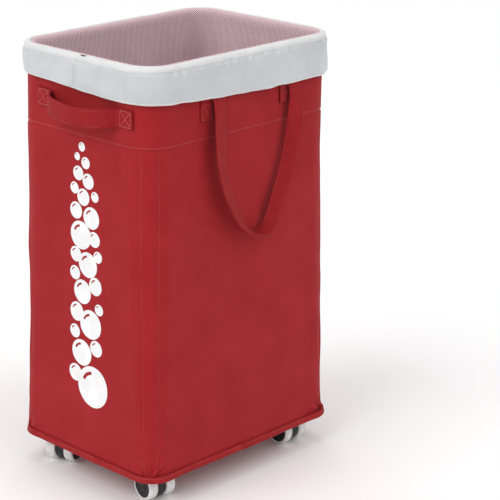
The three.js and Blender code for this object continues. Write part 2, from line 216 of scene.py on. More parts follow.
def fabric(name, dark, light, pitch=0.9, bump=0.10, mottle=55.0, rough=(0.62, 0.78), sheen=0.03,
           crease=0.0, gloss=0.14):
    """A plain weave: threads that pass over and under each other, slubs, and soft uneven shading."""
    s = Shader(name)
    u, v = s.cloth_uv()
    warp, weft = s.wave(u, pitch), s.wave(v, pitch)
    over = s.times(s.wave(u, 2 * pitch), s.wave(v, 2 * pitch))
    weave = s.add(s.times(s.add(warp, weft), 0.25), s.times(over, 0.4))
    slub = s.noise(2.6, 3.0, rough=0.7)
    patch = s.noise(mottle, 4.0, rough=0.6)
    share = s.add(s.times(patch, 0.75), s.add(s.times(slub, 0.35), s.times(weave, 0.06)))
    colour = s.mix(s.ramp(share, 0.30, 0.80), dark, light)
    height = s.add(s.times(weave, 0.5), s.times(slub, 0.9))
    if crease:
        folds = s.noise(34.0, 2.0, rough=0.45)
        height = s.add(height, s.times(folds, crease))
    s.bump(height, bump)
    return s.finish(colour, s.ramp(slub, 0.3, 0.7, *rough),
                    Sheen_Weight=sheen, Sheen_Roughness=0.5, Specular_IOR_Level=gloss)


def grained(name, dark, light, grain, bump, rough, detail=3.0, stretch=(1, 1, 1), uneven=0.5,
            **plain):
    """A material whose colour, relief and gloss follow one fine noise."""
    s = Shader(name)
    fine = s.noise(grain, detail, stretch, uneven)
    s.bump(fine, bump)
    return s.finish(s.mix(fine, dark, light), s.ramp(fine, 0.3, 0.7, *rough), **plain)


def thread(name, dark, light):
    """Twisted sewing thread."""
    return grained(name, dark, light, 0.8, 0.12, (0.5, 0.65), 1.0, (1, 1, 3), Sheen_Weight=0.1)


def net(name):
    """Knitted mesh: round holes on a staggered grid, with knitted thread between them."""
    s = Shader(name)
    hole_pitch = 2.6
    u, v = s.cloth_uv()
    tilt, half = s.times(v, math.sqrt(3) / 2), s.times(u, 0.5)
    leans = s.add(s.wave(s.math("SUBTRACT", tilt, half), hole_pitch),
                  s.wave(s.add(tilt, half), hole_pitch))
    lattice = s.add(s.wave(u, hole_pitch), leans)
    knit = s.noise(1.1, 2.0)
    # Painted light and shade of folds: upright streaks of lighter and darker tone.
    painted_fold_shade = s.noise(70.0, 2.0, (1, 1, 0.25))
    s.bump(s.add(s.times(lattice, -0.4), knit), 0.3)
    s.put(s.bsdf.inputs["Alpha"], s.ramp(lattice, -0.20, 1.0, 1.0, 0.0))
    near_rim = s.ramp(v, 6.0, 70.0)
    # The pink tint is painted red light bounced from the walls, with the red seen through the holes.
    # Near the rim, where no folds hang, the net keeps the darker tone.
    colour = s.mix(s.ramp(painted_fold_shade, 0.35, 0.7), (0.82, 0.63, 0.67), (0.91, 0.75, 0.78))
    colour = s.mix(near_rim, (0.82, 0.635, 0.67), colour)
    return s.finish(colour, s.ramp(knit, 0.3, 0.7, 0.6, 0.8), Sheen_Weight=0.1)


def plastic(name, dark, light, rough=(0.38, 0.55), grain=0.04, scuff=14.0):
    """Moulded plastic with a fine texture and light scuffs."""
    s = Shader(name)
    fine = s.noise(0.7, 2.0)
    worn = s.noise(scuff, 4.0, rough=0.65)
    s.bump(s.add(fine, s.times(worn, 0.5)), grain)
    return s.finish(s.mix(s.ramp(worn, 0.35, 0.75), dark, light),
                    s.ramp(worn, 0.3, 0.7, *rough), Specular_IOR_Level=0.4)


def metal(name):
    """Zinc-plated steel, drawn marks and faint clouding."""
    s = Shader(name)
    marks = s.noise(1.2, 3.0, (1, 1, 0.15))
    cloud = s.noise(16.0, 3.0)
    s.bump(marks, 0.03)
    return s.finish(s.mix(cloud, (0.42, 0.43, 0.45), (0.66, 0.67, 0.68)),
                    s.ramp(marks, 0.3, 0.7, 0.26, 0.42), Metallic=1.0)


def paper_floor(name):
    s = Shader(name)
    grain = s.noise(400.0, 2.0)
    return s.finish(s.mix(grain, (0.90, 0.90, 0.90), (0.93, 0.93, 0.93)), 0.9,
                    Specular_IOR_Level=0.1)


RED = fabric("red_oxford", (0.305, 0.010, 0.014), (0.355, 0.016, 0.020), crease=1.8)
RED_BAND = fabric("red_band", (0.265, 0.008, 0.011), (0.320, 0.013, 0.017), pitch=0.8, bump=0.12,
                  mottle=24.0)
RED_TAPE = fabric("red_tape", (0.270, 0.009, 0.012), (0.345, 0.015, 0.018), pitch=1.0, bump=0.16,
                  mottle=18.0, rough=(0.55, 0.7))
# The red threads are lighter than the cloth: painted highlight along the sewn lines, most on the
# handle patches and least on the straps and rod channels.
RED_THREAD = thread("red_thread", (0.40, 0.045, 0.050), (0.52, 0.100, 0.104))
STRAP_THREAD = thread("strap_thread", (0.32, 0.030, 0.034), (0.43, 0.070, 0.074))
PATCH_THREAD = thread("patch_thread", (0.46, 0.080, 0.084), (0.62, 0.160, 0.162))
WHITE_THREAD = thread("white_thread", (0.62, 0.62, 0.64), (0.84, 0.84, 0.85))
WHITE = fabric("white_cuff_cloth", (0.50, 0.51, 0.535), (0.59, 0.60, 0.62), pitch=0.6, bump=0.08,
               mottle=70.0, rough=(0.35, 0.5), sheen=0.1, crease=4.0, gloss=0.4)
# A paler copy of the cuff cloth for the rim and the lower edge: painted light where these rounded
# rolls catch more light.
WHITE_EDGE_PAINTED_LIGHT = fabric("white_cuff_edge_painted_light", (0.62, 0.62, 0.625), (0.70, 0.70, 0.705), pitch=0.6, bump=0.10,
                    mottle=30.0, rough=(0.5, 0.65), sheen=0.1, gloss=0.3)
NET = net("white_net")
PRINT = plastic("white_ink", (0.80, 0.80, 0.80), (0.90, 0.90, 0.90), (0.5, 0.65), 0.03, 30.0)
BLACK = plastic("black_plastic", (0.008, 0.009, 0.010), (0.022, 0.023, 0.025))
BLACK_FACE = plastic("black_wheel_face", (0.006, 0.006, 0.007), (0.016, 0.017, 0.018), (0.30, 0.42))
TYRE = plastic("white_tyre", (0.70, 0.70, 0.69), (0.84, 0.84, 0.83), (0.45, 0.6), 0.05, 9.0)
STEEL = metal("zinc_steel")
BOARD = grained("base_board", (0.035, 0.035, 0.04), (0.10, 0.10, 0.105), 3.0, 0.15, (0.7, 0.9), 5.0,
                (1, 0.3, 1), 0.75)
ROD = grained("glassfibre_rod", (0.62, 0.61, 0.56), (0.80, 0.79, 0.75), 0.6, 0.05, (0.35, 0.5),
              stretch=(1, 1, 0.04))
DARK_SLIT = fabric("slit_shadow", (0.03, 0.03, 0.035), (0.07, 0.07, 0.08), pitch=0.6, mottle=8.0)


# ---- mesh helpers -------------------------------------------------------------------------------
def make(name, points, faces, material, uv=None):
    """A mesh object from points in millimetres; uv is one pair in millimetres for each face corner."""
    mesh = bpy.data.meshes.new(name)
    mesh.from_pydata((np.asarray(points, float) * MM).tolist(), [], faces)
    mesh.polygons.foreach_set("use_smooth", [True] * len(mesh.polygons))
    if uv is None:
        corner = np.zeros(len(mesh.loops), int)
        mesh.loops.foreach_get("vertex_index", corner)
        place = np.asarray(points, float)[corner]
        uv = np.stack([place[:, 0] + place[:, 1], place[:, 2]], axis=1)
    layer = mesh.uv_layers.new(name=UV)
    layer.data.foreach_set("uv", (np.asarray(uv, float) * MM).ravel())
    mesh.materials.append(material)
    made = bpy.data.objects.new(name, mesh)
    bpy.context.scene.collection.objects.link(made)
    return made


def settle(made, body, slot, *nodes):
    """Puts a piece on its body, in the place of the frame's solids, which it hides; slot is not used.
    """
    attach(made, body)
    if nodes:
        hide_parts(*nodes)


def grid_mesh(name, grid, material, wrap=False, caps=False, u=None, v=None, flip=False,
              edging=None, edging_rows=(), open_end=None):
    """Faces over a grid of points, each row a closed ring, with the cloth's uv.

    wrap joins the last ring to the first; caps close the ends, or all but end 0 or 1 (open_end).
    """
    rows, cols = grid.shape[:2]
    i, j = np.meshgrid(np.arange(rows if wrap else rows - 1), np.arange(cols), indexing="ij")
    i, j = i.ravel(), j.ravel()
    ring = [(i, j), (i, j + 1), (i + 1, j + 1), (i + 1, j)]
    if flip:
        ring = ring[::-1]
    faces = np.stack([(a % rows) * cols + (b % cols) for a, b in ring], axis=1).tolist()
    u = np.arange(cols + 1, dtype=float) if u is None else np.asarray(u, float)
    v = np.arange(rows + 1, dtype=float) if v is None else np.asarray(v, float)
    uv = np.stack([np.stack([u[b], v[a]], axis=1) for a, b in ring], axis=1).reshape(-1, 2)
    points = grid.reshape(-1, 3)
    if caps:
        for end, row, reverse in ((0, 0, not flip), (1, rows - 1, flip)):
            if end == open_end:
                continue
            loop = [row * cols + k for k in range(cols)]
            faces.append(loop[::-1] if reverse else loop)
            flat = np.stack([u[:cols], np.full(cols, v[row])], axis=1)
            uv = np.vstack([uv, flat[::-1] if reverse else flat])
    made = make(name, points, faces, material, uv)
    for k in range(len(i), len(faces)):
        made.data.polygons[k].use_smooth = False
    if edging:
        made.data.materials.append(edging)
        made.data.polygons.foreach_set("material_index", np.isin(i, edging_rows).astype(int))
    return made


def looped(points):
    """The points, and the first one again at the end."""
    return np.concatenate([points, points[:1]])


def one_more(values):
    """The numbers, and one more a step of 1 after them."""
    return np.append(values, values[-1] + 1)


def lengths(points):
    """How far each point is along a line of points, from 0."""
    return np.concatenate([[0.0], np.cumsum(np.linalg.norm(np.diff(points, axis=0), axis=1))])


def sample(at, along, values):
    """Rows of numbers read at places along the line they belong to."""
    return np.stack([np.interp(at, along, column) for column in values.T], axis=1)


def unit(vectors):
    return vectors / np.maximum(np.linalg.norm(vectors, axis=-1, keepdims=True), 1e-9)


def ramp(value, low, high):
    """0 below low, 1 above high, and a soft step between."""
    t = np.clip((np.asarray(value, float) - low) / (high - low), 0, 1)
    return t * t * (3 - 2 * t)


def circle(count):
    """Angles all the way round."""
    return np.linspace(0, TURN, count, endpoint=False)


def hill(value, width):
    """1 where value is 0, and less on both sides of it."""
    return np.exp(-((np.asarray(value, float) / width) ** 2))


def ripple(points, size, seed, waves=7):
    """Soft uneven waves about size millimetres long, the same each run; about -2 to 2."""
    draw = np.random.default_rng(seed)
    total = 0.0
    for _ in range(waves):
        heading = unit(draw.normal(size=3))
        pitch = size * draw.uniform(0.7, 1.8)
        total = total + np.sin(points @ heading * (TURN / pitch) + draw.uniform(0, TURN))
    return total / math.sqrt(waves / 2)


def spline(keys, count):
    """A smooth line through rows of numbers whose first three are a place, evenly spaced."""
    keys = np.asarray(keys, float)
    k = np.vstack([2 * keys[0] - keys[1], keys, 2 * keys[-1] - keys[-2]])
    t = np.linspace(0, 1, 24, endpoint=False)[:, None]
    fine = []
    for a, b, c, d in zip(k[:-3], k[1:-2], k[2:-1], k[3:]):
        fine.append(0.5 * (2 * b + (c - a) * t + (2 * a - 5 * b + 4 * c - d) * t ** 2
                           + (3 * b - a - 3 * c + d) * t ** 3))
    fine = np.vstack(fine + [keys[-1:]])
    along = lengths(fine[:, :3])
    return sample(np.linspace(0, along[-1], count), along, fine)


def box_mm(node):
    """The lowest and highest corner of one of the frame's solids, in millimetres."""
    low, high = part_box(node)
    return np.array(low) / MM, np.array(high) / MM


def turned(points, degrees):
    """Points turned about the upright axis through the origin."""
    a = math.radians(degrees)
    turn = np.array([[math.cos(a), -math.sin(a), 0], [math.sin(a), math.cos(a), 0], [0, 0, 1]])
    return np.asarray(points, float) @ turn.T


# ---- the body's outline -------------------------------------------------------------------------
shell_low, shell_high = box_mm("outer_shell")
cuff_low, cuff_high = box_mm("liner_cuff")
bag_low, bag_high = box_mm("liner_bag")
HALF_X, HALF_Y = shell_high[0], shell_high[1]
BOTTOM, SHELL_TOP = shell_low[2], shell_high[2]
CUFF_BOTTOM, TOP = cuff_low[2], cuff_high[2]
BAG_INSET = HALF_X - bag_high[0]
CORNER_TOP, CORNER_FOOT = 45.0, 29.0    # plan radius of the corners, at the rim and at the bottom
CORNER_LINE = 8.0                       # how far that line is inside both walls (see corner_gap)
SEAM_Z = 557.0                          # topstitched seam under the strap ends
WALL_FLARE = 4.0                        # how far each wall leans out at the foot
CHANNEL_EDGE = 17.5                     # degrees from a corner's diagonal to its channel's stitches
TAPE_TOP = 8.8                          # how far the bottom tape reaches up the wall
CORNERS = ((1, -1, -90), (1, 1, 0), (-1, 1, 90), (-1, -1, 180))     # signs of x and y, first degrees


def corner_radius(z):
    """Plan radius of the body's corners at a height."""
    return CORNER_FOOT + (CORNER_TOP - CORNER_FOOT) * ramp(z, BOTTOM - 60, BOTTOM + 430)


class Outline:
    """Samples round the body: four corners, and the straight sides between them.

    A sample lies between two corner points. A row holds the signs of x and y and the degrees of
    each of the two, and the share of the way between them.
    """

    def __init__(self, corner_steps, long_steps, short_steps):
        rows = []
        for n, (sx, sy, start) in enumerate(CORNERS):
            nx, ny, next_start = CORNERS[(n + 1) % 4]
            for k in range(corner_steps):
                angle = start + 90.0 * k / corner_steps
                rows.append((sx, sy, angle, sx, sy, angle, 0.0))
            steps = short_steps if sx == nx else long_steps
            for k in range(steps):
                rows.append((sx, sy, start + 90.0, nx, ny, next_start, k / steps))
        self.rows = np.array(rows).T
        at_rim = self.place(0.0, CORNER_TOP)
        self.along = lengths(looped(at_rim))
        self.count = len(rows)

    def normal(self):
        angle = np.radians(self.rows[2])
        return np.cos(angle), np.sin(angle)

    def outward(self):
        """Outward directions round the loop, the first again at the end."""
        nx, ny = self.normal()
        return looped(np.stack([nx, ny, np.zeros(self.count)], axis=1))

    def place(self, out, radius):
        """Plan points (count x 2), or rows x count x 2 where out or radius is a column."""
        sx, sy, a, tx, ty, b, share = self.rows
        a, b = np.radians(a), np.radians(b)
        reach = radius + out
        one = np.stack([sx * (HALF_X - radius) + reach * np.cos(a),
                        sy * (HALF_Y - radius) + reach * np.sin(a)], axis=-1)
        two = np.stack([tx * (HALF_X - radius) + reach * np.cos(b),
                        ty * (HALF_Y - radius) + reach * np.sin(b)], axis=-1)
        return one + (two - one) * share[:, None]

    def bend(self):
        """Degrees from a corner's diagonal, 0 to 45; 45 along the straight sides."""
        return np.where(self.rows[6] > 0, 45.0, np.abs((self.rows[2] % 90.0) - 45.0))

    def surface(self, out, z, radius=None):
        """Points at `out` from the wall (rows x count) at heights z (rows, or rows x count)."""
        z = np.asarray(z, float)
        z = z if z.ndim == 2 else np.repeat(z[:, None], self.count, axis=1)
        out = np.broadcast_to(np.asarray(out, float), z.shape)
        plan = self.place(out, corner_radius(z) if radius is None else radius)
        return np.concatenate([plan, z[..., None]], axis=-1)


def corner_gap(points):
    """How far each point is, in plan, from the upright line inside the nearest corner."""
    x, y = np.abs(points[..., 0]), np.abs(points[..., 1])
    return np.hypot(HALF_X - CORNER_LINE - x, HALF_Y - CORNER_LINE - y)


def taper(z):
    """How far the walls lean out at a height, from none at the seam to all of it at the bottom."""
    return WALL_FLARE * np.clip((SEAM_Z - z) / (SEAM_Z - BOTTOM), 0, 1)


# Creases at the foot of each corner: from a place (along the wall, up) to another, height, width.
CREASES = (
    (4, 9, 25, 33, 3.1, 1.3), (9, 8, 44, 22, 2.6, 1.5), (6.5, 9, 30, 24, -2.4, 1.6),
    (2, 12, 6, 42, -2.3, 1.5), (-4, 10, -15, 30, 2.8, 1.4), (-9, 8, -36, 18, 2.0, 1.6),
    (-7, 9, -22, 20, -2.2, 1.5), (-1, 16, -7, 46, 1.9, 1.6), (15, 9, 28, 12, -2.0, 1.6),
    (9, 22, 17, 46, 1.9, 1.5), (-2, 9, -5, 20, -2.4, 1.3),
)


def crease_relief(points):
    """Sharp little folds where the fabric is gathered over a bottom corner."""
    along = (HALF_X - np.abs(points[..., 0])) - (HALF_Y - np.abs(points[..., 1]))
    rise = points[..., 2] - BOTTOM
    total = np.zeros_like(rise)
    for a0, r0, a1, r1, proud, width in CREASES:
        run, climb = a1 - a0, r1 - r0
        size = run * run + climb * climb
        t = np.clip(((along - a0) * run + (rise - r0) * climb) / size, 0, 1)
        away = np.hypot(along - a0 - t * run, rise - r0 - t * climb)
        total += proud * (1 - 0.6 * t) * hill(away, width * (1 + 0.8 * t))
    return total * ramp(rise, 7.5, 11)


def wall_relief(points, bend):
    """How far the padded wall stands out from straight; bend is each point's Outline.bend."""
    z = points[..., 2]
    rise, gap = z - BOTTOM, corner_gap(points)
    fade = ramp(rise, 0, 60) * ramp(SHELL_TOP, z - 1, z + 30)
    below = 1 - ramp(z, SEAM_Z - 6, SEAM_Z - 2)
    waves = 0.75 * ripple(points, 210, 11) + 0.22 * ripple(points, 60, 12)
    streaks = 0.27 * ripple(points * (1, 1, 0.10), 8.5, 15, 11) * hill(gap - 6, 30.0)
    seam = 0.6 * ramp(z, SEAM_Z - 1.2, SEAM_Z + 1.2) - 0.35 * hill(z - SEAM_Z + 1.4, 1.5)
    channel = hill(bend, 13.0) - hill(bend - CHANNEL_EDGE, 2.2)
    fan = np.cos(11 * np.arctan2(rise + 3, gap + 3) + 0.9 * ripple(points, 60, 13))
    fan = np.sign(fan) * np.abs(fan) ** 0.7
    gathers = 0.8 * fan * np.exp(-np.hypot(rise - 10, gap * 0.9) / 22.0) * ramp(rise, 5, 13)
    foot = 0.5 * (1 - ramp(rise, 2, 22)) - 1.1 * hill(rise - TAPE_TOP, 1.5)
    return (taper(z) + (waves + streaks * below) * fade + seam + below * channel
            + gathers + crease_relief(points) + foot)


# ---- shell --------------------------------------------------------------------------------------
def shell_heights():
    """Heights of the wall's rows, close together over the foot's creases and the seam."""
    bands = ((BOTTOM + 0.5, BOTTOM + 60, 1.2), (BOTTOM + 60, BOTTOM + 80, 2.5),
             (BOTTOM + 80, SEAM_Z - 8, 6.0), (SEAM_Z - 8, SEAM_Z + 6, 0.9),
             (SEAM_Z + 6, SHELL_TOP - 3, 6.0))
    return np.concatenate([np.arange(*band) for band in bands])


def build_shell():
    """The walls in one closed skin: outside, over the hem at the top, and down the inside."""
    line = Outline(44, 96, 64)
    bend = line.bend()
    z = shell_heights()
    straight = line.surface(0.0, z)
    outer_out = wall_relief(straight, bend)
    hem = np.array([(-0.7, -1.0), (-2.2, -0.1), (-5.5, 0.0), (-8.8, -0.1), (-10.4, -1.0),
                    (-11.0, -2.6), (-11.1, -7.0), (-10.9, -12.0), (-10.2, -13.0), (-9.4, -12.0),
                    (-9.1, -4.0), (-7.5, -2.3), (-4.6, -2.3), (-3.4, -4.0)])
    hem_z = SHELL_TOP + hem[:, 1]
    inner_z = np.linspace(SHELL_TOP - 14, BOTTOM + 0.5, 46)
    inner = line.surface(0.0, inner_z)
    lift = ramp(inner_z, BOTTOM + 8, BOTTOM + 90)[:, None]
    inner_out = -3.0 + taper(inner_z)[:, None] + 0.35 * ripple(inner, 90, 14) * lift
    out = np.vstack([outer_out, np.repeat(hem[:, :1], line.count, axis=1), inner_out])
    heights = np.concatenate([z, hem_z, inner_z])
    grid = line.surface(out, heights)
    section = np.stack([out.mean(axis=1), heights], axis=1)
    made = grid_mesh("shell_cloth", grid, RED, wrap=True, u=line.along,
                     v=lengths(looped(section)))
    settle(made, "base", "red_fabric", "outer_shell")


def tape_flare(points):
    """How far the bottom tape waves out, most at the corners."""
    return 0.35 * ripple(points, 46, 21) + 1.1 * hill(corner_gap(points), 34.0)


def build_binding():
    """Tape folded round the bottom edge of the walls, turned up at one corner."""
    line = Outline(30, 90, 60)
    section = np.array([(0.4, 7.8), (1.6, 7.9), (2.5, 7.0), (3.0, 4.4), (3.9, 1.4), (4.3, -0.6),
                        (3.5, -1.6), (2.2, -1.5), (0.6, -0.9), (-2.2, -0.9), (-2.6, 0.2), (-2.2, 1.0),
                        (0.2, 0.9)])
    at_wall = line.surface(0.0, np.full(len(section), BOTTOM))
    wave = tape_flare(at_wall) + 0.12 * ripple(at_wall, 13, 22)
    front = ramp(section[:, 0], 0.3, 2.5)[:, None]
    curl = hill(np.hypot(at_wall[..., 0] - HALF_X + 10, at_wall[..., 1] + HALF_Y - 10), 42.0)
    out = taper(BOTTOM) + section[:, :1] + (wave + 2.4 * curl) * front
    z = BOTTOM + section[:, 1:] + (0.25 * ripple(at_wall, 60, 23) + 2.4 * curl) * front
    grid = line.surface(out, z)
    made = grid_mesh("bottom_binding", grid, RED_TAPE, wrap=True, flip=True,
                     u=line.along, v=lengths(looped(section)))
    settle(made, "base", "red_fabric", "bottom_piping")


STEM_HOLE = 4.4         # radius of the holes for the caster stems
STEM_CLEAR = 9.0        # how near a stem's middle the plate's own points come
PLATE_CORNER = 26.0     # radius within which the plate's own points stay at its corners


def plate_points(outline, middles, hole, step):
    """Flat triangles inside an outline and outside the same hole round each middle: points, faces."""
    points, edges = [], []
    for loop in [outline] + [middle + hole for middle in middles]:
        first = len(points)
        points += [tuple(p) for p in loop]
        edges += [(first + k, first + (k + 1) % len(loop)) for k in range(len(loop))]

    def clear(place, gap):
        return all(np.hypot(*(middle - place)) > gap for middle in middles)

    low, high = outline.min(axis=0), outline.max(axis=0)
    for x in np.arange(low[0] + step, high[0] - step / 2, step):
        for y in np.arange(low[1] + step, high[1] - step / 2, step):
            over = np.maximum(np.abs((x, y)) - (high - PLATE_CORNER - 4), 0)
            if np.hypot(*over) < PLATE_CORNER and clear((x, y), STEM_CLEAR):
                points.append((x, y))
    found = delaunay_2d_cdt([Vector(p) for p in points], edges, [], 0, 1e-4)
    flat = np.array([tuple(p) for p in found[0]])
    faces = [list(f) for f in found[2] if clear(flat[list(f)].mean(axis=0), STEM_HOLE * 0.97)]
    return flat, faces


def thick_plate(name, flat, faces, bottom, top, material):
    """A closed plate between two height fields over the same flat triangles."""
    n = len(flat)
    points = np.vstack([np.column_stack([flat, top]), np.column_stack([flat, bottom])])
    area = sum(np.cross(flat[f[1]] - flat[f[0]], flat[f[2]] - flat[f[0]]) for f in faces)
    if area < 0:
        faces = [f[::-1] for f in faces]
    shown = faces + [[k + n for k in f[::-1]] for f in faces]
    sides = dict.fromkeys((a, b) for f in faces for a, b in zip(f, f[1:] + f[:1]))
    shown += [[a, a + n, b + n, b] for a, b in sides if (b, a) not in sides]
    corner = np.concatenate([np.array(f) for f in shown])
    return make(name, points, shown, material, points[corner][:, :2])


def build_bottom_cloth():
    """The fabric bottom, under the board, drawn up a little round each caster stem."""
    low, high = box_mm("bottom_panel")
    line = Outline(14, 30, 20)
    outline = line.place(taper(BOTTOM) - (HALF_X - high[0]), corner_radius(BOTTOM))
    around = np.stack([np.cos(circle(20)), np.sin(circle(20))], axis=1)
    middles = [np.add(*box_mm(f"caster_{name}_stem"))[:2] / 2 for name in CASTERS]
    flat, faces = plate_points(outline, middles, STEM_HOLE * around, 11.0)
    at = np.column_stack([flat, np.zeros(len(flat))])
    near = np.min([np.hypot(*(flat - middle).T) for middle in middles], axis=0)
    edge = np.min([high[0] - np.abs(flat[:, 0]), high[1] - np.abs(flat[:, 1])], axis=0)
    loose = ramp(near, 12, 45) * ramp(edge, 0, 30)
    sag = loose * (1.2 + 0.45 * ripple(at, 70, 31) + 0.2 * ripple(at, 24, 32))
    made = thick_plate("bottom_cloth", flat, faces, low[2] - sag, high[2] - 0.1 - 0.6 * sag, RED)
    settle(made, "base", "red_fabric", "bottom_panel")


def build_rod_channels():
    """A strip of fabric sewn down each inside corner over its rod, in two skins."""
    radius, cloth = 4.9, 0.9
    for name in CASTERS:
        low, _ = box_mm(f"rod_sleeve_{name}")
        rod_low, rod_high = box_mm(f"corner_rod_{name}")
        middle = (rod_low + rod_high)[:2] / 2
        inwards = math.atan2(-middle[1], -middle[0])
        outwards = -np.array([math.cos(inwards), math.sin(inwards)])
        arc = inwards + np.radians(np.linspace(-100, 100, 22))
        round_rod = np.stack([np.cos(arc), np.sin(arc)], axis=1)
        z = np.linspace(low[2], SHELL_TOP - 11, 92)
        rows = []
        for height in z:
            at = np.array([[middle[0], middle[1], height]])
            pinch = 0.25 * math.sin(height / 21.0) + 0.12 * ripple(at, 30, 41)[0]
            size = radius + 0.6 * max(pinch, -0.1)
            corner = corner_radius(height)
            wall = np.array([HALF_X, HALF_Y]) - corner + (corner - 3 + taper(height)) * math.sqrt(0.5)
            skirt = outwards * max(float(np.hypot(*(wall - np.abs(middle)))) - 2.2, 0.5)
            skins = []
            for reach in (size, size - cloth):
                ring = middle + reach * round_rod
                skins.append(np.vstack([ring[:1] + skirt, ring, ring[-1:] + skirt]))
            flat = np.vstack([skins[0], skins[1][::-1]])
            rows.append(np.column_stack([flat, np.full(len(flat), height)]))
        made = grid_mesh(f"rod_channel_{name}", np.array(rows), RED, caps=True, v=one_more(z))
        settle(made, "base", "red_fabric", f"rod_sleeve_{name}")


# ---- stitches -----------------------------------------------------------------------------------
STITCH_LENGTH, STITCH_GAP = 3.0, 0.9
STITCH_SHAPE = ((-0.5, 0.30), (-0.38, 0.85), (0.0, 1.0), (0.38, 0.85), (0.5, 0.30))     # along, radius


def ring_faces(first, rings, sides):
    """Faces between rings of points that follow each other from point number first."""
    return [[first + k * sides + a, first + k * sides + (a + 1) % sides,
             first + (k + 1) * sides + (a + 1) % sides, first + (k + 1) * sides + a]
            for k in range(rings - 1) for a in range(sides)]


def stitch_mesh(name, runs, material, body, slot, thick=0.42):
    """Rows of separate stitches. Each run is (points, outward directions) along a sewn line."""
    sides = 6
    around = circle(sides)
    points, faces = [], []
    for line, outward in runs:
        along = lengths(line)
        pitch = STITCH_LENGTH + STITCH_GAP
        middle = (np.arange(int(along[-1] // pitch)) + 0.5) * pitch
        place = sample(middle, along, line)
        out = unit(sample(middle, along, outward))
        heading = unit(sample(middle + 0.8, along, line) - place)
        side = unit(np.cross(heading, out))
        for p, h, o, s in zip(place, heading, out, side):
            first = len(points)
            for t, r in STITCH_SHAPE:
                centre = p + h * t * STITCH_LENGTH + o * 0.35 * thick * (1 - 4 * t ** 2)
                points += [centre + thick * r * (math.cos(a) * s + 0.8 * math.sin(a) * o)
                           for a in around]
            faces += ring_faces(first, len(STITCH_SHAPE), sides)
            faces.append([*range(first, first + sides)][::-1])
            faces.append([*range(len(points) - sides, len(points))])
    made = make(name, np.array(points), faces, material)
    settle(made, body, slot)
    return made


def wall_line(line, z):
    """A closed run round the wall at one height, with its outward directions."""
    straight = line.surface(0.0, np.array([z]))
    grid = line.surface(wall_relief(straight, line.bend()), np.array([z]))[0]
    return looped(grid), line.outward()


def channel_line(sx, sy, start, side):
    """An upright run beside a corner's rod channel."""
    z = np.arange(BOTTOM + 11, SEAM_Z - 3, 2.0)
    angle = math.radians(start + 45 + CHANNEL_EDGE * side)
    radius = corner_radius(z)
    normal = np.array([math.cos(angle), math.sin(angle), 0.0])
    at = np.stack([sx * (HALF_X - radius) + radius * normal[0],
                   sy * (HALF_Y - radius) + radius * normal[1], z], axis=1)
    relief = wall_relief(at, np.full(len(z), CHANNEL_EDGE))
    return at + normal * relief[:, None], np.repeat(normal[None, :], len(z), axis=0)


def build_wall_stitches():
    """The stitches of the seam, of the rod channels and of the bottom tape."""
    line = Outline(24, 60, 40)
    stitch_mesh("seam_topstitch", [wall_line(line, SEAM_Z + 3.0)], RED_THREAD, "base", "red_fabric")
    runs = [channel_line(sx, sy, start, side) for sx, sy, start in CORNERS for side in (-1, 1)]
    stitch_mesh("channel_stitches", runs, STRAP_THREAD, "base", "red_fabric", thick=0.36)
    on_tape = np.array([BOTTOM + 6.0])
    flare = tape_flare(line.surface(0.0, on_tape))
    grid = line.surface(taper(BOTTOM) + 2.6 + flare, on_tape)[0]
    run = (looped(grid), line.outward())
    stitch_mesh("binding_stitches", [run], RED_THREAD, "base", "red_fabric", thick=0.32)


# ---- printed motif ------------------------------------------------------------------------------
MOTIF_AT = -9.0     # middle of the column along the short face
# Plain bubbles: place along the wall from MOTIF_AT, height, radius.
BUBBLES = (
    (-12, 168, 33), (27, 182, 14), (12, 218, 21), (-20, 232, 13), (26, 250, 11), (-9, 268, 23),
    (22, 282, 15), (-28, 296, 9), (9, 316, 19), (-20, 331, 14), (25, 343, 11), (-4, 361, 20),
    (22, 373, 12), (-26, 378, 9), (10, 405, 22), (-19, 404, 12), (-14, 436, 17), (19, 442, 13),
    (3, 465, 13), (-22, 470, 8), (22, 476, 9), (-8, 491, 12), (13, 500, 11), (-3, 518, 9),
    (15, 525, 6), (5, 541, 7),
)


def build_motif():
    """Rising soap bubbles printed in white on the short face, each with a small curved highlight."""
    rings, spokes, ink = (0.0, 0.3, 0.58, 0.66, 0.74, 0.88, 1.0), 48, 0.28
    around = circle(spokes)
    highlight = {k * spokes + n for k in (2, 3) for n, a in enumerate(around)
                 if 20 <= math.degrees(a) < 80}
    points, faces = [], []
    for along, height, radius in BUBBLES:
        disc = ring_faces(len(points), len(rings), spokes)
        faces += [face for n, face in enumerate(disc) if n not in highlight]
        points += [(-HALF_X, MOTIF_AT + along + share * radius * math.cos(a),
                    height + share * radius * math.sin(a)) for share in rings for a in around]
    points = np.array(points)
    relief = wall_relief(points, np.full(len(points), 45.0))
    points[:, 0] -= relief + ink
    made = make("bubble_print", points, faces, PRINT)
    weld(made)
    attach(made, "base")


def weld(made):
    """Joins points that share a place."""
    b = bmesh.new()
    b.from_mesh(made.data)
    bmesh.ops.remove_doubles(b, verts=b.verts, dist=1e-6)
    bmesh.ops.dissolve_degenerate(b, edges=b.edges, dist=1e-7)
    b.to_mesh(made.data)
    b.free()


# ---- liner --------------------------------------------------------------------------------------
SLIT_AT, SLIT_ROW = -10.0, 20           # the slit's middle along the short face, and its profile row
HEM_ROWS = (2, 15)                      # profile rows with stitches
EDGE_ROWS_PAINTED_LIGHT = (0, 1, *range(15, 24), 46, 47)    # rows of the lower edge and the rim
STRAP_BULGES = ((-66.0, 1), (96.0, 1), (66.0, -1), (-96.0, -1))     # x and face of each strap leg


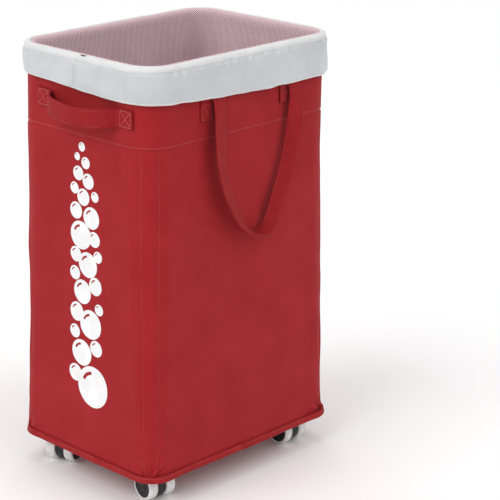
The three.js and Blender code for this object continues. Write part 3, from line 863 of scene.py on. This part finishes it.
def cuff_profile():
    """Outer skin of the cuff from its lower edge over the rim to the mesh: out, z, looseness."""
    body = [(7.6, -0.2, 1.0), (8.3, 0.9, 1.0), (8.7, 2.6, 1.0), (8.5, 4.2, 1.0), (8.9, 6.0, 1.0),
            (9.2, 10, 0.95), (9.3, 16, 0.85), (9.2, 22, 0.75), (9.0, 28, 0.65), (8.7, 34, 0.55),
            (8.3, 40, 0.45), (7.9, 44, 0.38), (7.6, 47, 0.30), (7.1, 50.2, 0.24), (5.7, 51.8, 0.2),
            (4.6, 52.7, 0.2), (5.5, 53.9, 0.12), (5.4, 56.0, 0.06)]
    rim = [(4.5, -3.7, 0.0), (2.9, -1.9, 0.0), (0.6, -0.5, 0.0), (-1.8, 0.0, 0.0), (-3.6, -0.4, 0.0),
           (-4.5, -1.2, 0.0)]
    return np.vstack([np.add(body, (0, CUFF_BOTTOM, 0)), np.add(rim, (0, TOP, 0))])


def cuff_rise(points):
    """How much higher the cuff's lower edge sits in places: it is not quite level."""
    x, y = points[..., 0], points[..., 1]
    near_left = 1 - ramp(x, -190, 20)
    across = ramp(y, -100, 100)
    right = 1.5 * ramp(x, 100, 190) * (1 - across)
    return near_left * (8.2 + 7.8 * across) + (1 - near_left) * 3.0 * across - right


def cuff_outer(line):
    """Out and z (rows x samples) of the cuff's outer skin, with its folds, puckers and seam."""
    out, z, loose = (np.repeat(column[:, None], line.count, axis=1) for column in cuff_profile().T)
    straight = line.surface(0.0, z)
    nx, ny = line.normal()
    left, long_side = nx < -0.9, np.abs(ny) > 0.9
    y, rise, gap = straight[..., 1], z - CUFF_BOTTOM, corner_gap(straight)
    foot = 1 - ramp(rise, 6, 36)
    # It stands off the flat walls, is tight over the corners and bulges over the strap legs.
    out = out + loose * (1.6 * ramp(gap, 25, 110) - 2.2 * hill(gap, 34.0))
    for x, face in STRAP_BULGES:
        over = hill(straight[..., 0] - x, 42.0) * (np.sign(-ny) == face) * long_side
        out = out + 3.8 * over * foot
        loose = loose * (1 - 0.75 * over)
    # Slanting slack folds, and puckers along the hem that are deeper on the long faces.
    slack = straight @ np.array([[1, 0, 0], [0, 1, 0], [0.35, -0.35, 0.8]])
    out = out + loose * (1.3 * ripple(slack, 95, 51) + 0.8 * ripple(slack, 38, 52))
    gathers = straight * (1, 1, 0.25)
    puckers = (0.4 + 0.6 * long_side) * ripple(gathers, 9.5, 53, 9) + 0.45 * ripple(gathers, 24, 54)
    out = out + hill(rise - 48.5, 5.5) * puckers
    # The side seam and a dent, both on the short face.
    seam = y - 7.0 + 0.04 * (TOP - z)
    drop = ramp(rise, -1, 2) * (1 - ramp(z, TOP - 10, TOP - 6))
    out = out + left * drop * (2.4 * hill(seam, 2.6) - 2.0 * hill(seam + 5.4, 2.6)
                               + 0.6 * ramp(seam, 0, 6) * hill(seam - 6, 12.0))
    out = out - left * 3.0 * hill(y + 105, 3.5) * hill(rise - 20, 15.0)
    # The lower edge is not level, the rim is a little uneven and it dips at the slit.
    lower = cuff_rise(straight) * (1 - ramp(rise, 4, 44))
    lower = lower + foot * (0.6 * ripple(straight, 130, 55) + 0.25 * ripple(straight, 40, 56))
    uneven = 0.35 * ramp(z, TOP - 12, TOP - 3) * np.abs(ripple(straight, 55, 57))
    notch = 0.5 * left * hill(y - SLIT_AT, 6.5) * hill(z - TOP, 2.5) * (out > -4)
    return np.minimum(out, 15.0), z + lower - uneven - notch


def build_cuff():
    """The cuff in two skins, with its lower edge and rim in a paler copy of its cloth for painted
    light on these rolls, its stitches and slit.
    """
    line = Outline(34, 132, 90)
    out, z = cuff_outer(line)
    cloth, ease = 1.3, 1.02
    step_out, step_z = np.gradient(out, axis=0), np.gradient(z, axis=0)
    size = np.maximum(np.hypot(step_out, step_z), 1e-6)
    inner_out, inner_z = out - cloth * step_z / size, z + cloth * step_out / size
    grid = line.surface(np.vstack([out, inner_out[::-1]]), np.vstack([z, inner_z[::-1]]))
    outer = np.stack([out[:, 0], z[:, 0]], axis=1)
    section = np.vstack([outer, np.stack([inner_out[::-1, 0], inner_z[::-1, 0]], axis=1)])
    made = grid_mesh("cuff_cloth", grid, WHITE, wrap=True, u=line.along,
                     v=lengths(looped(section)), edging=WHITE_EDGE_PAINTED_LIGHT, edging_rows=EDGE_ROWS_PAINTED_LIGHT)
    settle(made, "liner", "white_cuff", "liner_cuff")
    rings = [line.surface(out[[row]] + 0.05, z[[row]])[0] for row in HEM_ROWS]
    runs = [(looped(ring), line.outward()) for ring in rings]
    sewn = stitch_mesh("cuff_stitches", runs, WHITE_THREAD, "liner", "white_cuff", thick=0.38)
    slit = build_slit(line, out, z)


def build_slit(line, out, z):
    """The small bound opening on top of the rim, on the short face."""
    steps, around, reach = 24, 12, 6.0
    y = SLIT_AT + np.linspace(-reach, reach, steps)
    half = 1.5 * np.sqrt(np.maximum(1 - ((y - SLIT_AT) / (reach + 0.1)) ** 2, 0.02))
    nx, _ = line.normal()
    left = np.where(nx < -0.9)[0]
    at = line.surface(out[[SLIT_ROW]], z[[SLIT_ROW]])[0][left]
    order = np.argsort(at[:, 1])
    face = np.interp(y, at[order, 1], at[order, 0])
    height = np.interp(y, at[order, 1], at[order, 2])
    lean = math.radians(24)
    grid = np.zeros((steps, around, 3))
    for k, a in enumerate(circle(around)):
        flat, up = half * math.cos(a), 0.55 * math.sin(a)
        grid[:, k, 0] = face - flat * math.cos(lean) - up * math.sin(lean)
        grid[:, k, 1] = y
        grid[:, k, 2] = height - flat * math.sin(lean) + up * math.cos(lean) + 0.05
    made = grid_mesh("cuff_slit", grid, DARK_SLIT, caps=True)
    settle(made, "liner", "white_cuff")
    return made


# Deep folds: x and y, width, depth.
NET_FOLDS = (
    (HALF_X - 15, HALF_Y - 34, 6.0, 9.0), (HALF_X - 30, HALF_Y - 14, 6.0, 9.0),
    (HALF_X - 14, 2.0, 7.0, 6.5), (HALF_X - 14, -52.0, 9.0, 3.0), (-28.0, HALF_Y - 14, 5.0, 5.5),
    (-100.0, HALF_Y - 14, 9.0, 3.5), (60.0, HALF_Y - 14, 12.0, 3.0),
    (-HALF_X + 14, 30.0, 10.0, 3.0), (0.0, -HALF_Y + 14, 11.0, 3.0),
)
NET_SHARE = 0.95                # width of the net's flat cloth, as a share of the rim's length


def build_net():
    """The mesh bag: sewn to the cuff on top of the rim, it hangs inside with soft upright folds."""
    line = Outline(26, 90, 62)
    rim = np.array([(-3.4, -1.6), (-5.0, -0.7), (-7.0, -0.6), (-9.5, -1.3), (-11.8, -3.2),
                    (-13.2, -6.5)])
    foot_z = bag_low[2] + 16
    heights = np.concatenate([TOP + rim[:, 1], np.linspace(TOP - 11, foot_z, 110),
                              foot_z - 15.2 * np.sin(np.linspace(0.12, 1.5, 9))])
    rest = np.full(len(heights) - len(rim), -(BAG_INSET + 0.9))
    out = np.concatenate([rim[:, 0], rest])[:, None]
    straight = line.surface(0.0, heights)
    z, upright = straight[..., 2], straight * (1, 1, 0.16)
    hang = 1 - ramp(z, TOP - 60, TOP - 8)
    folds = 0.9 * np.abs(ripple(upright, 46, 61)) + 1.3 * np.abs(ripple(upright, 105, 62))
    folds = folds * (0.35 + 0.65 * ramp(corner_gap(straight), 12, 50))
    gather = np.zeros_like(z)
    for x, y, width, depth in NET_FOLDS:
        near = np.hypot(straight[..., 0] - x, straight[..., 1] - y)
        gather += depth * hill(near, width) * (0.55 + 0.45 * hang)
    gather = gather * (1 - ramp(z, TOP - 16, TOP - 4))
    foot = 1 - ramp(z, bag_low[2] - 1, foot_z)
    wall = line.surface(out - hang * folds - gather - 9.0 * foot ** 2, heights, CORNER_TOP)
    rings = [wall]
    for share in np.linspace(0.94, 0.06, 20):
        ring = wall[-1] * (share, share, 1)
        ring[:, 2] = bag_low[2] + 1.2 + 0.5 * ripple(ring, 60, 63) * (1 - share)
        rings.append(ring[None])
    grid = np.vstack(rings)
    down = lengths(grid[:, 40])
    made = grid_mesh("net_bag", grid, NET, u=line.along, v=np.append(down, down[-1]))
    close_middle(made, line.count)
    settle(made, "liner", "white_mesh", "liner_bag")
    width, height = NET_SHARE * line.along[-1] * MM, down[len(wall) - 1] * MM


def close_middle(made, count):
    """Closes the last ring of a grid with a fan of faces."""
    b = bmesh.new()
    b.from_mesh(made.data)
    b.verts.ensure_lookup_table()
    ring = b.verts[-count:]
    centre = b.verts.new(sum((v.co for v in ring), Vector()) / count)
    layer = b.loops.layers.uv[UV]
    for k in range(count):
        face = b.faces.new((ring[k], ring[(k + 1) % count], centre))
        face.smooth = True
        for loop in face.loops:
            loop[layer].uv = (loop.vert.co.x, loop.vert.co.y)
    b.to_mesh(made.data)
    b.free()


# ---- straps and handles -------------------------------------------------------------------------
# A band's section from its middle to an edge, in half widths and half thicknesses, grooved where
# it is sewn.
STITCH_AT = 0.80
BAND_HALF = [(0.3, 1.06), (0.6, 1.02), (0.76, 0.95), (STITCH_AT, 0.70), (0.84, 0.95), (0.88, 1.0),
             (0.95, 0.85), (1.0, 0.35)]
BAND_TOP = [(-w, t) for w, t in BAND_HALF[::-1]] + [(0.0, 1.08)] + BAND_HALF
BAND_SECTION = np.array(BAND_TOP + [(w, -t) for w, t in BAND_TOP[::-1]])


def band_frame(path, across):
    """Unit directions of a band: along it, across it and out of its face."""
    along = unit(np.gradient(path, axis=0))
    across = unit(across - (across * along).sum(axis=1, keepdims=True) * along)
    return along, across, np.cross(across, along)


def band_grid(path, across, width, thick, seed):
    """A folded and topstitched strap along a path, with its width along `across`."""
    _, across, face = band_frame(path, across)
    w, t = BAND_SECTION[:, 0] * width / 2, BAND_SECTION[:, 1] * thick / 2
    sway = 0.22 * ripple(path, 34, seed)
    return (path[:, None, :] + across[:, None, :] * w[None, :, None]
            + face[:, None, :] * (t[None, :, None] + sway[:, None, None]))


def band_mesh(name, grid, path, degrees, rows=slice(None), open_end=None):
    """The mesh of a band or of some of its rows, turned round the body."""
    u, along = lengths(looped(BAND_SECTION * 12.0)), lengths(path)[rows]
    return grid_mesh(name, turned(grid[rows], degrees), RED_BAND, caps=True, u=u,
                     v=one_more(along), open_end=open_end)


def band_runs(path, across, width, thick, keep, offset=STITCH_AT, sides=(1,)):
    """Stitch runs along both edges of a band's kept rows, on its front face, or on both."""
    _, across, face = band_frame(path, across)
    return [((path + across * edge * width / 2 + face * side * thick * 0.36)[keep],
             (face * side)[keep]) for side in sides for edge in (-offset, offset)]


def box_runs(low, high, surface, outward, inset=2.4):
    """A sewn box with a cross in it, between two opposite corners on a flat surface."""
    (a0, b0), (a1, b1) = np.add(low, inset), np.subtract(high, inset)
    corners = ((a0, b0), (a1, b0), (a1, b1), (a0, b1))
    runs = []
    for one, two in ((0, 1), (1, 2), (2, 3), (3, 0), (0, 2), (1, 3)):
        line = surface(np.linspace(corners[one], corners[two], 40))
        runs.append((line, np.repeat([outward], 40, axis=0)))
    return runs


def turned_runs(runs, degrees):
    return [(turned(line, degrees), turned(outward, degrees)) for line, outward in runs]


# The hanging strap, on the -Y face: x, out from the wall, z, then the direction to its inner edge.
STRAP_KEYS = np.array([
    (-68, 7.5, 629, 1, 0, -0.05), (-64, 9, 612, 1, 0.05, -0.1), (-66, 13, 588, 1, 0.15, -0.1),
    (-68, 16.5, 539, 0.95, 0.3, 0.05), (-60, 18.5, 490, 0.85, 0.4, 0.25),
    (-36, 19, 439, 0.7, 0.5, 0.5), (-19, 18, 419, 0.5, 0.7, 0.55), (-2, 16, 404, 0.2, 0.9, 0.35),
    (13, 15, 398, 0, 1, 0.1), (25, 15.5, 398, -0.3, 0.85, 0.45), (35, 17, 406, -0.6, 0.55, 0.6),
    (44, 18, 422, -0.75, 0.45, 0.45), (73, 18.5, 492, -0.75, 0.6, 0.25),
    (88, 16, 543, -0.75, 0.65, 0.15), (97, 11, 588, -1, 0.15, 0.15), (97, 8.5, 608, -1, 0.05, 0.1),
    (93, 7.5, 629, -1, 0, 0.05),
])
STRAP_WIDTH, STRAP_THICK = 25.5, 2.5
STRAP_BEND = 0.016                  # metres below its hinge at which the strap's stitches stop
TAB_THICK, TAB_HEIGHT = 2.4, 26.0


def strap_path():
    """The front strap's middle line, and the direction across it at each point."""
    line = spline(STRAP_KEYS, 150)
    path = np.stack([line[:, 0], -HALF_Y - line[:, 1], line[:, 2]], axis=1)
    return path, line[:, 3:6]


def build_carry_strap(face, degrees):
    """The hanging loop of one long face, its stitches and its two sewn ends."""
    hinge = next(j for j in frame["joints"] if j["name"] == f"carry_strap_{face}_swing")
    axis_y, axis_z = hinge["pos_m"][1], hinge["pos_m"][2]
    path, across = strap_path()
    grid = band_grid(path, across, STRAP_WIDTH, STRAP_THICK, 71)
    made = band_mesh(f"carry_strap_{face}_band", grid, path, degrees)
    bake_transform(made)
    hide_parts(f"carry_strap_{face}")
    keep = path[:, 2] < (axis_z - STRAP_BEND) / MM - 1
    runs = band_runs(path, across, STRAP_WIDTH, STRAP_THICK, keep, sides=(1, -1))
    stitch_mesh(f"carry_strap_{face}_stitches", turned_runs(runs, degrees), STRAP_THREAD,
                f"strap_{face}", "red_webbing", thick=0.34)
    for hand, x in (("a", -1), ("b", 1)):
        build_strap_tab(face, degrees, hand, x)


def build_strap_tab(face, degrees, hand, sign):
    """A strap's sewn end: flat on the wall under the cuff, bound at its lower edge."""
    low, high = box_mm(f"strap_tab_front_{hand}")
    x, bottom = (low[0] + high[0]) / 2, low[2]
    width = high[0] - low[0]
    leg = STRAP_KEYS[0 if sign < 0 else -1, 0]
    keys = [(0, 2.0, 0), (0, 2.05, 12), (0, 2.1, 24), (0.1, 2.3, 33), (0.35, 3.2, 41),
            (0.55, 4.5, 44.6), (0.75, 6.2, 44.6), (1, 7.4, 42)]
    line = spline([(x + share * (leg - x), -HALF_Y - out, bottom + rise)
                   for share, out, rise in keys], 46)
    upright = line * (0, 1, 1)
    across = np.repeat([[1.0, 0.0, 0.0]], len(line), axis=0)
    grid = band_grid(upright, across, width, TAB_THICK, 72)
    grid[..., 0] += line[:, 0][:, None]
    made = band_mesh(f"strap_end_{face}_{hand}", grid, line, degrees)
    settle(made, "base", "red_webbing", f"strap_tab_{face}_{hand}")

    def on_tab(flat):
        return np.stack([flat[:, 0], np.full(len(flat), -HALF_Y - 3.2), flat[:, 1]], axis=1)

    runs = box_runs((x - width / 2, bottom), (x + width / 2, bottom + TAB_HEIGHT), on_tab,
                    (0, -1, 0))
    stitch_mesh(f"strap_end_{face}_{hand}_stitches", turned_runs(runs, degrees), RED_THREAD, "base",
                "red_webbing", thick=0.34)


# The side handle on the -X face: along the wall, out from it, middle height.
HANDLE_KEYS = ((-113, 2.1, 599.6), (-105, 2.1, 599.6), (-94, 2.1, 599.6), (-86, 2.6, 599.4),
               (-80.5, 5.4, 599.0), (-76, 10.6, 598.3), (-71, 16.2, 597.6), (-62, 20.6, 596.4),
               (-46, 24.0, 594.8), (-26, 26.2, 593.2), (-7, 26.8, 592.8), (10, 26.0, 593.6),
               (26, 24.0, 594.8), (41.5, 20.6, 596.6), (50.5, 16.2, 598.2), (55, 10.6, 599.2),
               (59, 5.4, 600.2), (64.5, 2.6, 601.2), (72, 2.1, 601.8), (82, 2.1, 602.0),
               (91, 2.1, 602.0))
# Each half: its side along the wall, its patch's outer and inner ends, its height, where it bends.
HANDLE_HALVES = (("a", -1, -113.0, -86.0, 599.6, (-82.0, -64.0)),
                 ("b", 1, 91.0, 64.5, 602.0, (61.5, 43.5)))
HANDLE_THICK = 2.6


def build_side_handle(face, degrees):
    """One folded band in two halves, each sewn to the wall at its end and bending at its root."""
    low, high = box_mm(f"side_handle_{face}")
    height = high[2] - low[2]
    keys = np.array(HANDLE_KEYS)
    line = spline(np.stack([-HALF_X - keys[:, 1], keys[:, 0], keys[:, 2]], axis=1), 161)
    lean = 0.10 * hill(line[:, 1], 55.0)
    across = np.stack([lean, np.zeros(len(line)), np.ones(len(line))], axis=1)
    grid = band_grid(line, across, height, HANDLE_THICK, 73)
    for _, sign, _, _, _, (root, _) in HANDLE_HALVES:
        pinch = 1.3 * hill(line[:, 1] - (root - sign * 7.5), 4.0)
        grid[..., 0] += pinch[:, None] * np.sin(BAND_SECTION[None, :, 0] * 2.4)
    middle = len(line) // 2
    patch_runs = []

    def on_patch(flat):
        face_x = np.interp(flat[:, 0], line[:, 1], line[:, 0]) - 1.35
        return np.stack([face_x, flat[:, 0], flat[:, 1]], axis=1)

    for hand, sign, outer, inner, level, (root, free) in HANDLE_HALVES:
        rows = slice(0, middle + 1) if sign < 0 else slice(middle, None)
        made = band_mesh(f"side_handle_{face}_{hand}", grid, line, degrees, rows, int(sign < 0))
        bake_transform(made)
        nodes = [f"handle_patch_{face}_{hand}"] + ([f"side_handle_{face}"] if hand == "a" else [])
        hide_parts(*nodes)
        first, last = sorted((inner, outer))
        patch_runs += box_runs((first, level - height / 2), (last, level + height / 2), on_patch,
                               (-1, 0, 0), 2.6)
    keep = (line[:, 1] > HANDLE_HALVES[0][5][1]) & (line[:, 1] < HANDLE_HALVES[1][5][1])
    runs = band_runs(line, across, height, HANDLE_THICK, keep, 0.81)
    stitch_mesh(f"side_handle_{face}_stitches", turned_runs(runs, degrees), STRAP_THREAD,
                f"handle_{face}", "red_webbing", thick=0.36)
    stitch_mesh(f"handle_patch_{face}_stitches", turned_runs(patch_runs, degrees), PATCH_THREAD,
                "base", "red_webbing", thick=0.5)


# ---- casters ------------------------------------------------------------------------------------
def lathe(name, profile, centre, axis, material, segments=64):
    """A closed profile of (radius, along) points turned about an axis through a point."""
    axis = unit(np.asarray(axis, float))
    helper = np.array([0.0, 0.0, 1.0]) if abs(axis[2]) < 0.9 else np.array([1.0, 0.0, 0.0])
    one = unit(np.cross(axis, helper))
    two = np.cross(axis, one)
    a = circle(segments)[:, None]
    ring = np.cos(a) * one + np.sin(a) * two
    profile = np.asarray(profile, float)
    r, t = profile.T[:, :, None, None]
    made = grid_mesh(name, np.asarray(centre) + ring * r + axis * t, material, wrap=True, flip=True,
                     u=np.linspace(0, TURN * profile[:, 0].max(), segments + 1),
                     v=lengths(looped(profile)))
    weld(made)
    return made


def extruded(name, outline, depth, bevel, basis, centre, material):
    """An outline given depth, its edges rounded; basis is the outline's two axes and the depth's."""
    n = len(outline)
    flat = np.asarray(outline, float)
    side = [np.column_stack([flat, np.full(n, s * depth / 2)]) for s in (-1, 1)]
    points = np.vstack(side) @ np.asarray(basis, float) + np.asarray(centre)
    faces = [list(range(n))[::-1], list(range(n, 2 * n))]
    faces += [[k, (k + 1) % n, n + (k + 1) % n, n + k] for k in range(n)]
    made = make(name, points, faces, material)
    b = bmesh.new()
    b.from_mesh(made.data)
    bmesh.ops.recalc_face_normals(b, faces=b.faces)
    rims = [edge for edge in b.edges if max(len(f.verts) for f in edge.link_faces) > 4]
    bmesh.ops.bevel(b, geom=rims, offset=bevel * MM, segments=3, profile=0.5, affect="EDGES")
    b.to_mesh(made.data)
    b.free()
    made.data.polygons.foreach_set("use_smooth", [True] * len(made.data.polygons))
    made.data.set_sharp_from_angle(angle=math.radians(40))
    return made


def build_wheel(name, hand, joint):
    """A white tyre and its black centre, with a dished outer face."""
    centre = np.array(joint["pos_m"]) / MM
    axis = np.array(joint["axis"], float)
    tyre_low, tyre_high = box_mm(f"caster_{name}_tyre_{hand}")
    offset = float(((tyre_low + tyre_high) / 2 - centre) @ axis)
    outwards = axis * math.copysign(1.0, offset)
    centre = centre + axis * offset
    half, outer, inner = 8.0, 22.5, 18.05
    tyre = [(inner, -half + 0.5), (inner + 0.6, -half), (outer - 2.6, -half),
            (outer - 1.1, -half + 0.7), (outer - 0.2, -half + 2.4), (outer, -half + 4.2),
            (outer, -0.5), (outer - 0.22, 0.0), (outer, 0.5), (outer, half - 4.2),
            (outer - 0.2, half - 2.4), (outer - 1.1, half - 0.7), (outer - 2.6, half),
            (inner + 0.9, half), (inner + 0.2, half - 0.5), (inner, half - 1.2)]
    hub = [(2.8, -half), (17.4, -half), (17.9, -half + 0.5), (17.9, half - 0.9), (17.5, half - 0.25),
           (16.7, half - 0.1), (15.9, half - 0.5), (15.2, half - 1.3), (13.8, half - 1.7),
           (8.6, half - 1.9), (7.6, half - 1.7), (7.0, half - 0.9), (6.2, half - 0.45),
           (2.5, half - 0.3), (0.0, half - 0.28), (0.0, half - 3.4), (2.8, half - 3.4)]
    for kind, profile, material, slot in (("tyre", tyre, TYRE, "white_tyre"),
                                          ("hub", hub, BLACK_FACE, "black_plastic")):
        made = lathe(f"{kind}_{name}_{hand}", profile, centre, outwards, material, 72)
        settle(made, f"wheel_{name}_{hand}", slot, f"caster_{name}_{kind}_{hand}")


def build_hood(name, swivel, axle, axis):
    """The swivel body between the two wheels: a rounded fender and the boss round the pin."""
    pivot = swivel * (1, 1, 0)
    trail = float(np.hypot(*(axle[:2] - swivel[:2])))
    back = unit((axle - swivel) * (1, 1, 0))
    _, high = box_mm(f"caster_{name}_hood")
    rise, fender = axle[2], 20.4
    angles = np.radians(np.linspace(-60, 110, 44))
    outline = [(trail + fender * math.cos(a), rise + fender * math.sin(a)) for a in angles]
    outline += [(-7.4, high[2] - 3.0), (-7.4, rise - 2.0), (trail - 4, rise - 12)]
    made = extruded(f"hood_{name}", outline, 14.8, 1.3, [back, (0, 0, 1), axis * (1, 1, 0)], pivot,
                    BLACK)
    boss = [(4.35, rise + 2), (7.35, rise + 2), (7.35, high[2] - 1.2), (6.6, high[2] - 0.2),
            (5.2, high[2]), (4.35, high[2] - 0.4)]
    cap = lathe(f"hood_boss_{name}", boss, pivot, UP, BLACK, 40)
    settle(made, f"swivel_{name}", "black_plastic", f"caster_{name}_hood")
    settle(cap, f"swivel_{name}", "black_plastic")


def build_axle(name, axle, axis):
    reach, radius = 21.6, 2.45
    pin = [(0, -reach), (2.0, -reach), (radius, -reach + 0.5), (radius, reach - 0.5), (2.0, reach),
           (0, reach)]
    made = lathe(f"axle_{name}", pin, axle, axis, STEEL, 32)
    settle(made, f"swivel_{name}", "zinc_steel", f"caster_{name}_axle")


def build_stem(name, pivot):
    """The threaded pin with its round flange under the bottom."""
    low, high = box_mm(f"caster_{name}_stem")
    radius, root, pitch, flange = 3.95, 3.35, 1.25, BOTTOM - 0.3
    thread_from = flange + 3.0
    stem = [(0.0, low[2]), (3.2, low[2]), (radius, low[2] + 0.8), (radius, flange - 2.0),
            (11.6, flange - 2.0), (12.8, flange - 1.3), (12.9, flange - 0.4), (12.3, flange),
            (radius, flange)]
    for k in range(int((high[2] - 1.5 - thread_from) / pitch)):
        base = thread_from + k * pitch
        stem += [(root, base), (radius, base + pitch / 2)]
    stem += [(3.3, high[2] - 0.9), (2.6, high[2]), (0.0, high[2])]
    made = lathe(f"stem_{name}", stem, pivot, UP, STEEL, 40)
    settle(made, "base", "zinc_steel", f"caster_{name}_stem")


def build_nut(name, pivot):
    """A six-sided nut with its ends turned down, and its bore."""
    low, high = box_mm(f"caster_{name}_nut")
    size, bore = (high[0] - low[0]) / 2, 4.25
    around, sixth = circle(48), TURN / 6
    flat = size * math.cos(sixth / 2) / np.cos(around % sixth - sixth / 2)
    edge = 0.02 * np.cos((around + sixth / 2) % sixth - sixth / 2)
    rings = []
    for share, shrink in ((0, 0.90), (0.06, 0.97), (0.16, 1), (0.84, 1), (0.94, 0.97), (1, 0.90)):
        reach = np.minimum(flat, size * (0.99 if shrink == 1 else shrink + edge))
        rings.append((reach, low[2] + share * (high[2] - low[2])))
    rings += [(bore, high[2]), (bore, low[2])]
    grid = [np.stack([pivot[0] + reach * np.cos(around), pivot[1] + reach * np.sin(around),
                      np.full(48, z)], axis=1) for reach, z in rings]
    made = grid_mesh(f"nut_{name}", np.array(grid), STEEL, wrap=True)
    made.data.set_sharp_from_angle(angle=math.radians(28))
    settle(made, "base", "zinc_steel", f"caster_{name}_nut")


def build_caster(name):
    """One twin-wheel caster, with the stem and nut that hold it in the board."""
    joints = {j["name"]: j for j in frame["joints"]}
    swivel = np.array(joints[f"swivel_{name}_turn"]["pos_m"]) / MM
    roll = joints[f"wheel_{name}_a_roll"]
    axle, axis = np.array(roll["pos_m"]) / MM, np.array(roll["axis"], float)
    build_hood(name, swivel, axle, axis)
    build_axle(name, axle, axis)
    for hand in ("a", "b"):
        build_wheel(name, hand, joints[f"wheel_{name}_{hand}_roll"])
    build_stem(name, swivel * (1, 1, 0))
    build_nut(name, swivel)


# ---- hard pieces that keep their plain shape ----------------------------------------------------
def dress(node, material, bevel):
    """A finish for one of the frame's solids, with its edges eased."""
    piece = frame["nodes"][node]
    piece.data.materials.clear()
    piece.data.materials.append(material)
    piece.modifiers.new("weld", "WELD").merge_threshold = 2e-6
    if bevel:
        ease = piece.modifiers.new("ease", "BEVEL")
        ease.width, ease.segments = bevel * MM, 2
        ease.limit_method, ease.angle_limit = "ANGLE", math.radians(50)


# ---- build --------------------------------------------------------------------------------------
set_camera()
set_light()
build_shell()
build_binding()
build_bottom_cloth()
build_rod_channels()
build_wall_stitches()
build_motif()
build_cuff()
build_net()
for side, degrees in (("front", 0), ("rear", 180)):
    build_carry_strap(side, degrees)
for side, degrees in (("left", 0), ("right", 180)):
    build_side_handle(side, degrees)
for caster in CASTERS:
    build_caster(caster)
    dress(f"corner_rod_{caster}", ROD, 0.0)
dress("base_board", BOARD, 0.5)
dress("rim_hoop", STEEL, 0.0)

floor = make("floor", [(-9000, -9000, 0), (9000, -9000, 0), (9000, 9000, 0), (-9000, 9000, 0)],
             [[0, 1, 2, 3]], paper_floor("pale_floor"))
